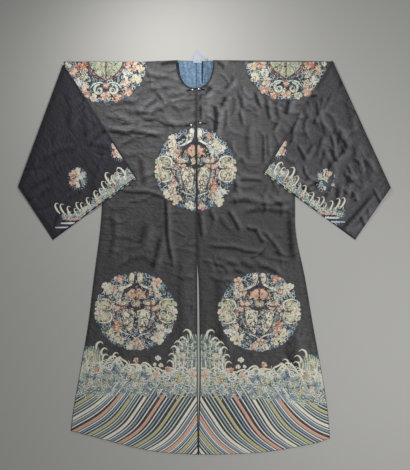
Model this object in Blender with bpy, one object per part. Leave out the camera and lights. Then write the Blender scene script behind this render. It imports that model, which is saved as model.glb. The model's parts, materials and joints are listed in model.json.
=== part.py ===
"""A woman's long silk surcoat with a centre front opening, laid flat, face up.

Both wide sleeves are folded forward over the fronts, so each flap shows the back of its sleeve.
Each half is cut in one length, front and back joined by the fold over the shoulder, out to the
seam where a second width of silk carries the sleeve on to its cuff.

Lengths are in millimetres until a mesh is written, which is in metres. X runs across the coat,
Y runs up it from hem to neck, and Z points up from the surface that it lies on.
"""

import math
from collections import namedtuple

import bmesh
import bpy
from mathutils import Vector
from mathutils.bvhtree import BVHTree
from mathutils.geometry import delaunay_2d_cdt

MM = 0.001

# Cloth, and how closely its layers lie
WALL = 1.6
LAYER_GAP = 0.4
SEAM_GAP = 0.4
FLAP_CLEARANCE = 0.5
TRIM_GAP = 0.3
FRONT_LOW = WALL + LAYER_GAP
FRONT_TOP = FRONT_LOW + WALL
FLAP_BED = FRONT_TOP + FLAP_CLEARANCE
FLAP_TOP = FLAP_BED + 2 * WALL + LAYER_GAP

# Spacing of the points that a wall is made of
GRID = 34.0
RIM_STEP = 30.0
SIDE_STEP = 45.0
OPENING_STEP = 60.0
CUFF_STEP = 15.0
NECK_STEPS = 9
FOLD_STEPS = 6
CREASE_STEP = 22.0

# Points keep this far from the rim, and these shares of the grid from the rim and from creases
CREASE_ROOM = 5.0
RIM_SHARE = 0.45
CREASE_SHARE = 0.55
SAME_POINT = 1e-4

# Where the slack flap starts to sink beside the layers under it, and where it reaches the floor
SINK_START = 10.0
SINK_END = 52.0
SINK_TOLERANCE = 0.5

# The front stays flat this far outside the flap's edge, and has its full folds farther out
FLAP_BORDER = 6.0
FLAP_FOLDS_FROM = 7.0
FLAP_FOLDS_FULL = 46.0

# Sleeves: the panel's silk is this wide from the shoulder tip before the sleeve's own width starts
SEAM_FROM_TIP = 270.0
SEAM_LOW_SHARE = 0.93

# Neck opening in the fronts
NECK_HALF_WIDTH = 62.0
NECK_CENTRE = -7.0
NECK_DEPTH = 98.0
NECK_ROUNDNESS = 2 / 2.35
BACK_NECK_DROP = 2.0

# Narrow bindings
BINDING_WIDTH = 5.0
BINDING_THICKNESS = 1.0
BINDING_INSET = 0.2
NECK_BINDING_WIDTH = 4.0
NECK_BINDING_EASE = 0.5
NECK_MITRE_LIMIT = 0.6
CUFF_BINDING_WIDTH = 6.0
CUFF_BINDING_GAP = 0.4
CUFF_END_ROOM = 1.5
LINING_THICKNESS = 1.0
LINING_EASE = 1.4

# Ball toggles
BALL_RADIUS = 4.8
BALL_SEGMENTS = 14
BALL_RINGS = 9
CORD_LENGTH = 15.0
CORD_WIDTH = 5.1
CORD_THICKNESS = 3.4
CORD_DROP = 2.0

# Ribbon loop at the back of the neck
TAPE_THICKNESS = 1.0
TAPE_GRID = 7.0
TAPE_DROP_START = 9.0
TAPE_DROP_END = 28.0
TAPE_OUTLINE = (
    (-21, -12),
    (-17, 12),
    (-9, 34),
    (-1, 40),
    (6, 37),
    (38, 6),
    (33, -1),
    (24, 5),
    (-1, 27),
    (-3, 24),
    (18, 3),
    (18, -12),
)

# Distances outward from the centre line and down from the shoulder line, left and right side
Corner = namedtuple("Corner", "left_across left_down right_across right_down")
SHOULDER_TIP = Corner(478, 16, 481, 3)
ELBOW = Corner(637, 449, 687, 453)
CUFF_LOW = Corner(513, 637, 559, 637)
CUFF_TOP = Corner(215, 417, 233, 399)
ARMPIT = Corner(334, 360, 348, 360)
HEM_CORNER = Corner(449, 1315, 470, 1340)

# The side edge between armpit and hem
SideRow = namedtuple("SideRow", "down left_across right_across")
SIDE_ROWS = [
    SideRow(520, 339, 346),
    SideRow(625, 348, 351),
    SideRow(770, 367, 381),
    SideRow(940, 388, 410),
    SideRow(1110, 417, 441),
    SideRow(1230, 438, 460),
]

# The hem's sweep: how far it has risen at each share of a half's width
HEM_DEPTH = 1399.0
HemRow = namedtuple("HemRow", "share left_rise right_rise")
HEM_ROWS = [
    HemRow(0.0, 0, 0),
    HemRow(0.3, 9, 3),
    HemRow(0.55, 31, 12),
    HemRow(0.75, 55, 28),
    HemRow(0.9, 73, 42),
]

# The two bound edges of the opening, and of the vent behind it, as they lie
OpeningRow = namedtuple("OpeningRow", "down left_edge right_edge")
OPENING_ROWS = [
    OpeningRow(0, -6.0, -5.5),
    OpeningRow(98, -5.5, -5.0),
    OpeningRow(400, -3.4, -2.9),
    OpeningRow(690, -1.4, -0.8),
    OpeningRow(800, -1.0, 5.0),
    OpeningRow(1000, 0.0, 8.0),
    OpeningRow(1150, 0.5, 8.0),
    OpeningRow(1250, 1.5, 5.0),
    OpeningRow(1330, 2.5, 3.2),
    OpeningRow(1399, 3.0, 3.5),
]

# The largest folds of the fronts: ridges from start to end, with their half width and height
Fold = namedtuple("Fold", "side start_x start_down end_x end_down reach height")
FOLDS = [
    Fold("left", -120, 500, -104, 715, 42, 5.0),
    Fold("left", -305, 262, -140, 282, 40, 5.0),
    Fold("left", -240, 455, -118, 492, 36, 4.0),
    Fold("left", -150, 640, -160, 780, 46, 3.5),
    Fold("left", -200, 60, -110, 76, 34, 3.0),
    Fold("left", -170, 190, -40, 222, 36, 3.0),
    Fold("right", 52, 165, 50, 290, 34, 5.0),
    Fold("right", 118, 540, 150, 616, 34, 5.0),
    Fold("right", 196, 605, 290, 725, 40, 5.0),
    Fold("right", 130, 522, 320, 512, 40, 4.0),
    Fold("right", 205, 120, 228, 215, 34, 3.5),
    Fold("right", 160, 665, 260, 700, 36, 3.0),
    Fold("right", 60, 90, 120, 120, 34, 3.0),
]

# Soft fullness of the laid fronts between their flat edges
BILLOW_HEIGHT = 2.2
BILLOW_MEAN = 0.6
BILLOW_SWING = 0.4
BILLOW_PHASE = 0.6
BILLOW_ACROSS = 210.0
BILLOW_DOWN = 330.0
EDGE_FLAT = 16.0
EDGE_FULL = 60.0

# The front stays flat this far round a toggle, and has its full folds this far away
TOGGLE_FLAT = 30.0
TOGGLE_FULL = 70.0

# Toggles, two pairs that meet at the opening
Toggle = namedtuple("Toggle", "name x down points_to")
TOGGLES = [
    Toggle("neck_left", -17.5, 106, -1),
    Toggle("neck_right", 4.5, 103, 1),
    Toggle("chest_left", -22.0, 231, -1),
    Toggle("chest_right", 9.5, 223, 1),
]


def ramp(low, high, value):
    """Rise smoothly from 0 at low to 1 at high."""
    share = min(1.0, max(0.0, (value - low) / (high - low)))
    return share * share * (3 - 2 * share)


def corner_point(corner, side):
    """A named corner as a point; side is -1 for the left half and 1 for the right."""
    if side < 0:
        return Vector((-corner.left_across, -corner.left_down))
    return Vector((corner.right_across, -corner.right_down))


def straight(start, end, step):
    """Points from start towards end, leaving the end to the next run."""
    count = max(1, round((end - start).length / step))
    return [start.lerp(end, index / count) for index in range(count)]


def curve_through(knots, step):
    """Points on a smooth curve through the knots, leaving the last knot to the next run."""
    points = []
    for index in range(len(knots) - 1):
        before = knots[max(0, index - 1)]
        start = knots[index]
        end = knots[index + 1]
        after = knots[min(len(knots) - 1, index + 2)]
        count = max(1, round((end - start).length / step))
        for piece in range(count):
            t = piece / count
            bend_in = (end - before) * 0.5 if index else end - start
            bend_out = (after - start) * 0.5 if index + 2 < len(knots) else end - start
            points.append(
                start * (2 * t ** 3 - 3 * t ** 2 + 1)
                + bend_in * (t ** 3 - 2 * t ** 2 + t)
                + end * (3 * t ** 2 - 2 * t ** 3)
                + bend_out * (t ** 3 - t ** 2)
            )
    return points


def distance_to_run(point, run):
    """The shortest way from a point to a line of points."""
    best = math.inf
    for start, end in zip(run, run[1:]):
        along = end - start
        share = (point - start).dot(along) / max(along.length_squared, 1e-9)
        nearest = start + along * min(1.0, max(0.0, share))
        best = min(best, (point - nearest).length)
    return best


def is_inside(point, loop):
    """Whether a point is inside a closed loop of points."""
    inside = False
    for start, end in zip(loop, loop[1:] + loop[:1]):
        if (start.y > point.y) != (end.y > point.y):
            cross_x = start.x + (point.y - start.y) * (end.x - start.x) / (end.y - start.y)
            if point.x < cross_x:
                inside = not inside
    return inside


def toggle_line(toggle):
    """From the middle of a toggle's ball to the end of its cord."""
    ball = Vector((toggle.x, -toggle.down))
    reach = BALL_RADIUS + TRIM_GAP + CORD_LENGTH
    return [ball, ball + Vector((toggle.points_to * reach, -CORD_DROP))]


class Half:
    """One half of the coat: its plan, and the lines where it is folded and joined."""

    def __init__(self, name):
        self.name = name
        self.side = -1 if name == "left" else 1
        self.armpit = corner_point(ARMPIT, self.side)
        self.cuff_low = corner_point(CUFF_LOW, self.side)
        self.cuff_top = corner_point(CUFF_TOP, self.side)
        self.lay_fold_line()
        self.lay_seam()
        self.flap = [self.tip, self.elbow, self.cuff_low, self.cuff_top]
        self.lay_hidden_edges()

    def lay_fold_line(self):
        """The line that the sleeve is folded on, set in by the thickness of the roll."""
        tip = corner_point(SHOULDER_TIP, self.side)
        elbow = corner_point(ELBOW, self.side)
        along = (elbow - tip).normalized()
        inward = Vector((-along.y, along.x))
        if inward.x * self.side > 0:
            inward = -inward
        self.fold_out = -inward
        self.tip = tip + inward * FLAP_TOP / 2
        self.elbow = elbow + inward * FLAP_TOP / 2

    def lay_seam(self):
        """The seam between the panel and the sleeve's own width, square to the sleeve."""
        top_edge = self.cuff_top - self.tip
        share = SEAM_FROM_TIP / top_edge.length
        self.seam_high = self.tip + top_edge * share
        cuff = self.cuff_low - self.cuff_top
        under_edge = self.elbow - self.cuff_low
        left = self.seam_high - self.cuff_low
        cross = cuff.x * under_edge.y - cuff.y * under_edge.x
        reach = (cuff.x * left.y - cuff.y * left.x) / cross
        self.seam_low = self.cuff_low + under_edge * min(reach, SEAM_LOW_SHARE)
        self.top_out = Vector((top_edge.y, -top_edge.x)).normalized()
        if self.top_out.x * self.side > 0:
            self.top_out = -self.top_out
        self.along = top_edge.normalized()

    def lay_hidden_edges(self):
        """The underarm and side edges that lie under the flap, with their outward directions."""
        lower_side = self.side_knots()[-3]
        under = (self.elbow - self.armpit).normalized()
        self.under_out = Vector((under.y, -under.x))
        if self.under_out.y > 0:
            self.under_out = -self.under_out
        side_edge = (lower_side - self.armpit).normalized()
        self.side_out = Vector((side_edge.y, -side_edge.x))
        if self.side_out.x * self.side < 0:
            self.side_out = -self.side_out
        self.hidden_edges = (
            (self.elbow, self.armpit, self.under_out),
            (self.armpit, lower_side, self.side_out),
        )

    def opening_run(self, top_down):
        """The bound front edge from a given depth down to the hem."""
        edge = "left_edge" if self.side < 0 else "right_edge"
        return [Vector((getattr(row, edge), -row.down)) for row in OPENING_ROWS if row.down >= top_down]

    def side_knots(self):
        """The side edge from the hem's corner up to the armpit."""
        across = "left_across" if self.side < 0 else "right_across"
        rows = [Vector((self.side * getattr(row, across), -row.down)) for row in SIDE_ROWS]
        return [corner_point(HEM_CORNER, self.side)] + rows[::-1] + [self.armpit]

    def hem_knots(self):
        """The hem from the opening out to its corner."""
        rise = "left_rise" if self.side < 0 else "right_rise"
        corner = corner_point(HEM_CORNER, self.side)
        start_x = self.opening_run(0)[-1].x
        knots = []
        for row in HEM_ROWS:
            x = start_x + (corner.x - start_x) * row.share
            knots.append(Vector((x, getattr(row, rise) - HEM_DEPTH)))
        return knots + [corner]

    def neck_point(self, turn):
        """A point of the neck's curve: turn 0 is at the shoulder, 1 at the centre front."""
        angle = turn * math.pi / 2
        across = math.cos(angle) ** NECK_ROUNDNESS
        down = math.sin(angle) ** NECK_ROUNDNESS
        x = NECK_CENTRE + self.side * NECK_HALF_WIDTH * across
        if turn >= 1:
            x = self.opening_run(NECK_DEPTH)[0].x
        return Vector((x, -NECK_DEPTH * down))

    def panel_runs(self, has_neck):
        """The outline of the panel's lower layers as named runs, in order round the panel."""
        neck_corner = self.neck_point(0)
        shoulder = straight(self.tip, neck_corner, RIM_STEP)
        if has_neck:
            neck = [self.neck_point(step / NECK_STEPS) for step in range(NECK_STEPS)]
            centre = self.opening_run(NECK_DEPTH)
        else:
            centre = self.opening_run(0)
            centre[0] = Vector((centre[0].x, -BACK_NECK_DROP))
            neck = straight(neck_corner, centre[0], RIM_STEP)
        return [
            ("shoulder", shoulder),
            ("neck", neck),
            ("centre", curve_through(centre, OPENING_STEP)),
            ("hem", curve_through(self.hem_knots(), RIM_STEP)),
            ("side", curve_through(self.side_knots(), SIDE_STEP)),
            ("underarm", straight(self.armpit, self.elbow, RIM_STEP)),
            ("sleeve_fold", straight(self.elbow, self.tip, RIM_STEP)),
        ]

    def flap_runs(self):
        """The part of the panel that is folded over, as far as the seam."""
        back = self.along * SEAM_GAP / 2
        return [
            ("sleeve_fold", straight(self.tip, self.elbow, RIM_STEP)),
            ("underarm", straight(self.elbow, self.seam_low - back, RIM_STEP)),
            ("seam", straight(self.seam_low - back, self.seam_high - back, RIM_STEP)),
            ("top_fold", straight(self.seam_high - back, self.tip, RIM_STEP)),
        ]

    def sleeve_runs(self):
        """The sleeve's own width, from the seam to the cuff."""
        on = self.along * SEAM_GAP / 2
        return [
            ("top_fold", straight(self.seam_high + on, self.cuff_top, RIM_STEP)),
            ("cuff", straight(self.cuff_top, self.cuff_low, RIM_STEP)),
            ("underarm", straight(self.cuff_low, self.seam_low + on, RIM_STEP)),
            ("seam", straight(self.seam_low + on, self.seam_high + on, RIM_STEP)),
        ]

    def beyond_edge(self, point):
        """How far a point of the flap is past the underarm and side edges that lie under it."""
        from_armpit = point - self.armpit
        return max(0.0, min(from_armpit.dot(self.under_out), from_armpit.dot(self.side_out)))

    def sink_line(self):
        """Points where the flap starts to sink, so that its mesh bends just there."""
        points = []
        for start, end, out in self.hidden_edges:
            for point in straight(start, end, CREASE_STEP):
                moved = point + out * SINK_START
                if abs(self.beyond_edge(moved) - SINK_START) < SINK_TOLERANCE:
                    points.append(moved)
        return points

    def flap_border(self):
        """Points just outside the flap, so that the front's folds start clear of it."""
        outer = self.top_out * FLAP_BORDER
        lower = self.along * FLAP_BORDER
        corner = self.cuff_top + outer + lower
        run = straight(self.tip + outer, corner, CREASE_STEP)
        return run + straight(corner, self.cuff_low + lower, CREASE_STEP)

    def flap_low(self, x, y):
        """Height of the flap's underside."""
        past = self.beyond_edge(Vector((x, y)))
        return FLAP_BED * (1 - ramp(SINK_START, SINK_END, past))

    def relief(self, x, y):
        """How far the front stands up in folds and fullness, flat at its edges and under the flap."""
        point = Vector((x, y))
        edge = distance_to_run(point, self.rim)
        share = ramp(EDGE_FLAT, EDGE_FULL, edge)
        if is_inside(point, self.flap):
            return 0.0
        away = distance_to_run(point, self.flap + self.flap[:1])
        share *= ramp(FLAP_FOLDS_FROM, FLAP_FOLDS_FULL, away)
        if share <= 0.0:
            return 0.0
        wave = math.sin(x / BILLOW_ACROSS * math.tau + BILLOW_PHASE) * math.cos(y / BILLOW_DOWN * math.tau)
        height = BILLOW_HEIGHT * (BILLOW_MEAN + BILLOW_SWING * wave)
        for line in self.toggle_lines():
            share *= ramp(TOGGLE_FLAT, TOGGLE_FULL, distance_to_run(point, line))
        for fold in FOLDS:
            if fold.side != self.name:
                continue
            line = [Vector((fold.start_x, -fold.start_down)), Vector((fold.end_x, -fold.end_down))]
            away = distance_to_run(point, line)
            height += fold.height * (1 - ramp(0.0, fold.reach, away))
        return height * share

    def toggle_lines(self):
        """The line from each toggle's ball to the end of its cord."""
        return [toggle_line(toggle) for toggle in TOGGLES if toggle.name.endswith(self.name)]

    def fold_lines(self):
        """The crest of each fold as a line of points."""
        lines = []
        for fold in FOLDS:
            if fold.side == self.name:
                start = Vector((fold.start_x, -fold.start_down))
                end = Vector((fold.end_x, -fold.end_down))
                lines.append(straight(start, end, CREASE_STEP) + [end])
        return lines


class Wall:
    """A layer of cloth: two sheets of the same points, one WALL above the other."""

    def __init__(self, mesh, runs, low, thickness=WALL, creases=(), grid=None, open_runs=()):
        self.mesh = mesh
        self.low = low
        self.thickness = thickness
        rim = [point for name, points in runs for point in points]
        inner, crease_pairs = self.inner_points(rim, creases, grid)
        points = rim + inner
        edges = [(first + len(rim), second + len(rim)) for first, second in crease_pairs]
        loop = list(range(len(rim)))
        flat = delaunay_2d_cdt(points, edges, [loop], 1, SAME_POINT)
        flat_points = flat[0]
        triangles = flat[2]
        place_of = {}
        for index, sources in enumerate(flat[3]):
            for source in sources:
                place_of[source] = index
        self.lower = [self.add_point(point, 0.0) for point in flat_points]
        self.upper = [self.add_point(point, thickness) for point in flat_points]
        for triangle in triangles:
            mesh.faces.new([self.upper[index] for index in triangle])
            mesh.faces.new([self.lower[index] for index in reversed(triangle)])
        self.rim_places = [place_of[index] for index in loop]
        self.find_runs(runs)
        self.close_rim(open_runs)

    def add_point(self, point, lift):
        height = self.low(point.x, point.y) + lift
        return self.mesh.verts.new((point.x * MM, point.y * MM, height * MM))

    def inner_points(self, rim, creases, grid):
        """Crease points first, then a grid that keeps clear of them and of the rim."""
        closed = rim + rim[:1]
        inner = []
        pairs = []
        for crease in creases:
            last = None
            for point in crease:
                if is_inside(point, rim) and distance_to_run(point, closed) > CREASE_ROOM:
                    inner.append(point)
                    here = len(inner) - 1
                    if last is not None:
                        pairs.append((last, here))
                    last = here
                else:
                    last = None
        if grid is None:
            return inner, pairs
        fixed = list(inner)
        low_x = min(point.x for point in rim)
        high_x = max(point.x for point in rim)
        low_y = min(point.y for point in rim)
        high_y = max(point.y for point in rim)
        for row in range(int((high_y - low_y) / grid) + 1):
            for column in range(int((high_x - low_x) / grid) + 1):
                shift = 0.5 if row % 2 else 0.0
                point = Vector((low_x + (column + shift) * grid, low_y + row * grid))
                if not is_inside(point, rim) or distance_to_run(point, closed) < RIM_SHARE * grid:
                    continue
                if all((point - other).length > CREASE_SHARE * grid for other in fixed):
                    inner.append(point)
        return inner, pairs

    def find_runs(self, runs):
        """The places of each named run, with the point that ends it."""
        self.runs = {}
        start = 0
        for name, points in runs:
            end = start + len(points)
            places = [self.rim_places[index % len(self.rim_places)] for index in range(start, end + 1)]
            self.runs[name] = places
            start = end

    def close_rim(self, open_runs):
        for name, places in self.runs.items():
            if name in open_runs:
                continue
            for first, second in zip(places, places[1:]):
                self.mesh.faces.new(
                    (self.lower[first], self.lower[second], self.upper[second], self.upper[first])
                )

    def edge(self, name, backwards=False):
        """The lower and upper points of a run."""
        places = self.runs[name][::-1] if backwards else self.runs[name]
        return [self.lower[place] for place in places], [self.upper[place] for place in places]


def fold_over(mesh, under, over, outward):
    """Join two walls round a fold: under and over are the lower and upper points of one edge."""
    out = Vector((outward.x, outward.y, 0.0))
    rows = []
    for low, inner_low, inner_high, high in zip(under[0], under[1], over[0], over[1]):
        outer_row = arc_points(mesh, low, high, out, 0.0)
        inner_row = arc_points(mesh, inner_low, inner_high, out, inner_low.co.z - low.co.z)
        rows.append((outer_row, inner_row))
    for (outer, inner), (next_outer, next_inner) in zip(rows, rows[1:]):
        for step in range(FOLD_STEPS):
            mesh.faces.new((outer[step], next_outer[step], next_outer[step + 1], outer[step + 1]))
            mesh.faces.new((inner[step], inner[step + 1], next_inner[step + 1], next_inner[step]))
    for outer, inner in (rows[0], rows[-1]):
        for step in range(FOLD_STEPS):
            mesh.faces.new((outer[step], outer[step + 1], inner[step + 1], inner[step]))


def arc_points(mesh, low, high, out, wall):
    """Points of a half round from one edge point up to the one above it."""
    middle = (low.co.z + high.co.z) / 2
    half = (high.co.z - low.co.z) / 2
    points = [low]
    for step in range(1, FOLD_STEPS):
        angle = math.pi * (step / FOLD_STEPS - 0.5)
        place = low.co.copy()
        place += out * half * math.cos(angle)
        place.z = middle + half * math.sin(angle)
        points.append(mesh.verts.new(place))
    points.append(high)
    return points


def level(height):
    """A height that is the same everywhere."""
    return lambda x, y: height


def cloth_material(name, colour, roughness, metallic=0.0):
    material = bpy.data.materials.get(name)
    if material is None:
        material = bpy.data.materials.new(name)
        material.use_nodes = True
        surface = material.node_tree.nodes["Principled BSDF"]
        surface.inputs["Base Color"].default_value = (*colour, 1.0)
        surface.inputs["Roughness"].default_value = roughness
        surface.inputs["Metallic"].default_value = metallic
    return material


def finish_piece(mesh, name, material):
    """Turn the faces outwards and put the piece in the scene."""
    bmesh.ops.recalc_face_normals(mesh, faces=mesh.faces)
    data = bpy.data.meshes.new(name)
    mesh.to_mesh(data)
    mesh.free()
    data.materials.append(material)
    piece = bpy.data.objects.new(name, data)
    bpy.context.collection.objects.link(piece)
    return piece


def make_body_panel(half, material):
    """Back, front and folded-over upper sleeve of one half, cut in one length."""
    mesh = bmesh.new()
    front_runs = half.panel_runs(has_neck=True)
    half.rim = [point for name, points in front_runs for point in points]
    half.rim.append(half.rim[0])
    folded = ("shoulder", "sleeve_fold")
    back = Wall(mesh, half.panel_runs(has_neck=False), level(0.0), open_runs=folded)
    front = Wall(
        mesh,
        front_runs,
        lambda x, y: FRONT_LOW + half.relief(x, y),
        creases=[half.flap_border()] + half.toggle_lines() + half.fold_lines(),
        grid=GRID,
        open_runs=folded,
    )
    flap_folds = ("sleeve_fold", "top_fold")
    inner_flap = Wall(
        mesh, half.flap_runs(), half.flap_low, creases=[half.sink_line()], grid=GRID, open_runs=flap_folds
    )
    outer_flap = Wall(
        mesh,
        half.flap_runs(),
        lambda x, y: half.flap_low(x, y) + WALL + LAYER_GAP,
        creases=[half.sink_line()],
        grid=GRID,
        open_runs=flap_folds,
    )
    fold_over(mesh, back.edge("shoulder"), front.edge("shoulder"), Vector((0, 1)))
    fold_over(mesh, back.edge("sleeve_fold"), outer_flap.edge("sleeve_fold", True), half.fold_out)
    fold_over(mesh, front.edge("sleeve_fold"), inner_flap.edge("sleeve_fold", True), half.fold_out)
    fold_over(mesh, inner_flap.edge("top_fold"), outer_flap.edge("top_fold"), half.top_out)
    return finish_piece(mesh, "body_" + half.name, material)


def make_sleeve(half, material):
    """The sleeve's own width, a flattened tube folded along its top edge."""
    mesh = bmesh.new()
    inner = Wall(
        mesh, half.sleeve_runs(), half.flap_low, creases=[half.sink_line()], grid=GRID, open_runs=("top_fold",)
    )
    outer = Wall(
        mesh,
        half.sleeve_runs(),
        lambda x, y: half.flap_low(x, y) + WALL + LAYER_GAP,
        creases=[half.sink_line()],
        grid=GRID,
        open_runs=("top_fold",),
    )
    fold_over(mesh, inner.edge("top_fold"), outer.edge("top_fold"), half.top_out)
    return finish_piece(mesh, "sleeve_" + half.name, material)


def make_strip(name, centre, width, low, thickness, material):
    """A narrow strip of cloth along a line of points, resting at a height given for each place."""
    mesh = bmesh.new()
    rings = []
    for index, point in enumerate(centre):
        before = centre[max(0, index - 1)]
        after = centre[min(len(centre) - 1, index + 1)]
        along = (after - before).normalized()
        across = Vector((-along.y, along.x)) * width / 2
        ring = []
        for place, lift in ((point - across, 0), (point + across, 0), (point + across, 1), (point - across, 1)):
            height = low(place.x, place.y) + lift * thickness
            ring.append(mesh.verts.new((place.x * MM, place.y * MM, height * MM)))
        rings.append(ring)
    for ring, following in zip(rings, rings[1:]):
        for corner in range(4):
            after = (corner + 1) % 4
            mesh.faces.new((ring[corner], ring[after], following[after], following[corner]))
    mesh.faces.new(rings[0])
    mesh.faces.new(rings[-1])
    return finish_piece(mesh, name, material)


def make_front_binding(half, material):
    """The narrow binding down one edge of the opening."""
    step_in = half.side * (BINDING_WIDTH / 2 + BINDING_INSET)
    run = curve_through(half.opening_run(NECK_DEPTH), OPENING_STEP) + half.opening_run(0)[-1:]
    centre = [Vector((point.x + step_in, point.y)) for point in run]
    low = level(FRONT_TOP + TRIM_GAP)
    return make_strip("front_binding_" + half.name, centre, BINDING_WIDTH, low, BINDING_THICKNESS, material)


def make_cuff_binding(half, sleeve, material):
    """The narrow binding along the visible edge of a cuff, resting on the sleeve's own faces."""
    inward = half.along * -(CUFF_BINDING_WIDTH / 2 + TRIM_GAP)
    run = straight(half.cuff_top, half.cuff_low, CUFF_STEP) + [half.cuff_low]
    end_room = (half.cuff_low - half.cuff_top).normalized() * CUFF_END_ROOM
    run[0] = run[0] + end_room
    run[-1] = run[-1] - end_room
    centre = [point + inward for point in run]
    faces = BVHTree.FromObject(sleeve, bpy.context.evaluated_depsgraph_get())

    def low(x, y):
        hit = faces.ray_cast(Vector((x * MM, y * MM, 1.0)), Vector((0, 0, -1)))[0]
        return hit.z / MM + CUFF_BINDING_GAP

    name = "cuff_binding_" + half.name
    return make_strip(name, centre, CUFF_BINDING_WIDTH, low, BINDING_THICKNESS, material)


def neck_ring(left, right, inset):
    """Points round the neck opening from the left front edge to the right, set in by a distance."""
    run = [left.neck_point(step / NECK_STEPS) for step in range(NECK_STEPS, -1, -1)]
    run += [right.neck_point(step / NECK_STEPS) for step in range(NECK_STEPS + 1)]
    points = []
    for index, point in enumerate(run):
        before = run[max(0, index - 1)]
        after = run[min(len(run) - 1, index + 1)]
        into = (point - before).normalized() if index else (after - point).normalized()
        away = (after - point).normalized() if index + 1 < len(run) else into
        normal = Vector((into.y + away.y, -into.x - away.x)).normalized()
        spread = max(NECK_MITRE_LIMIT, normal.dot(Vector((into.y, -into.x))))
        points.append(point + normal * inset / spread)
    return points


def make_neck_binding(left, right, material):
    """The binding round the neck, a ring that is open at the centre front."""
    inset = TRIM_GAP + NECK_BINDING_WIDTH / 2 + NECK_BINDING_EASE
    return make_strip(
        "neck_binding",
        neck_ring(left, right, inset),
        NECK_BINDING_WIDTH,
        level(WALL + TRIM_GAP),
        FRONT_TOP + BINDING_THICKNESS - WALL,
        material,
    )


def make_neck_lining(half, ring, material):
    """The lining of the back, where the neck opening shows it, joined at the centre back."""
    middle = len(ring) // 2
    own_ring = ring[:middle] if half.side < 0 else ring[middle:]
    own = [point for point in own_ring if (point.x - NECK_CENTRE) * half.side > SEAM_GAP]
    seam_x = NECK_CENTRE + half.side * SEAM_GAP / 2
    if half.side < 0:
        low_end = own[0]
        high_end = own[-1]
        runs = [("seam", straight(Vector((seam_x, high_end.y)), Vector((seam_x, low_end.y)), RIM_STEP))]
        runs.append(("edge", [Vector((seam_x, low_end.y))] + own))
    else:
        low_end = own[-1]
        high_end = own[0]
        runs = [("edge", [Vector((seam_x, high_end.y))] + own)]
        runs.append(("seam", straight(Vector((seam_x, low_end.y)), Vector((seam_x, high_end.y)), RIM_STEP)))
    mesh = bmesh.new()
    Wall(mesh, runs, level(WALL + TRIM_GAP), thickness=LINING_THICKNESS)
    return finish_piece(mesh, "neck_lining_" + half.name, material)


def make_tape(material):
    """The ribbon loop at the back of the neck: two limbs that meet at its top."""
    runs = [("edge", [Vector(point) for point in TAPE_OUTLINE])]
    mesh = bmesh.new()
    over_binding = FRONT_TOP + 3 * TRIM_GAP + BINDING_THICKNESS

    def low(x, y):
        return over_binding * (1 - ramp(TAPE_DROP_START, TAPE_DROP_END, y))

    Wall(mesh, runs, low, thickness=TAPE_THICKNESS, grid=TAPE_GRID)
    return finish_piece(mesh, "neck_tape", material)


def make_toggle(toggle, ball_material, cord_material):
    """A small metal ball and the cord that holds it, lying on the front."""
    rest = FRONT_TOP + TRIM_GAP
    middle, cord_end = toggle_line(toggle)
    mesh = bmesh.new()
    bmesh.ops.create_uvsphere(mesh, u_segments=BALL_SEGMENTS, v_segments=BALL_RINGS, radius=BALL_RADIUS * MM)
    place = Vector((middle.x, middle.y, rest + BALL_RADIUS)) * MM
    bmesh.ops.translate(mesh, verts=mesh.verts, vec=place)
    ball = finish_piece(mesh, "toggle_ball_" + toggle.name, ball_material)
    cord_start = middle + (cord_end - middle).normalized() * (BALL_RADIUS + TRIM_GAP)
    cord = make_strip(
        "toggle_cord_" + toggle.name,
        [cord_start, cord_end],
        CORD_WIDTH,
        level(rest),
        CORD_THICKNESS,
        cord_material,
    )
    return ball, cord


def centre_on_floor(pieces):
    """Put the middle of the laid coat over the origin."""
    corners = [Vector(corner) for piece in pieces for corner in piece.bound_box]
    middle_x = (min(corner.x for corner in corners) + max(corner.x for corner in corners)) / 2
    middle_y = (min(corner.y for corner in corners) + max(corner.y for corner in corners)) / 2
    for piece in pieces:
        piece.location = (-middle_x, -middle_y, 0.0)


def main():
    for item in list(bpy.data.objects):
        bpy.data.objects.remove(item)
    silk = cloth_material("charcoal_silk", (0.085, 0.08, 0.085), 0.55)
    sleeve_silk = cloth_material("sleeve_silk", (0.06, 0.055, 0.062), 0.55)
    lining = cloth_material("blue_lining", (0.22, 0.34, 0.46), 0.5)
    binding = cloth_material("dark_binding", (0.02, 0.022, 0.03), 0.6)
    ribbon = cloth_material("pale_ribbon", (0.62, 0.67, 0.72), 0.5)
    silver = cloth_material("silver_ball", (0.75, 0.75, 0.74), 0.25, 1.0)
    cord = cloth_material("dark_cord", (0.03, 0.03, 0.035), 0.6)
    left = Half("left")
    right = Half("right")
    lining_edge = neck_ring(left, right, 2 * TRIM_GAP + NECK_BINDING_WIDTH + LINING_EASE)
    pieces = []
    for half in (left, right):
        pieces.append(make_body_panel(half, silk))
        sleeve = make_sleeve(half, sleeve_silk)
        pieces.append(sleeve)
        pieces.append(make_front_binding(half, binding))
        pieces.append(make_cuff_binding(half, sleeve, binding))
        pieces.append(make_neck_lining(half, lining_edge, lining))
    pieces.append(make_neck_binding(left, right, binding))
    pieces.append(make_tape(ribbon))
    for toggle in TOGGLES:
        pieces.extend(make_toggle(toggle, silver, cord))
    centre_on_floor(pieces)


main()
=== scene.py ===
"""Looks of a woman's embroidered silk surcoat, laid flat with its sleeves folded forward.

Sizes in the tables are millimetres on the coat: x across from the centre front, to the right of
the viewer, and down from the shoulder line. Meshes are written in metres in the frame's axes.
"""

import json
import math

import bmesh
import bpy
import numpy as np
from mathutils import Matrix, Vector
from mathutils.geometry import delaunay_2d_cdt

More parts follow.
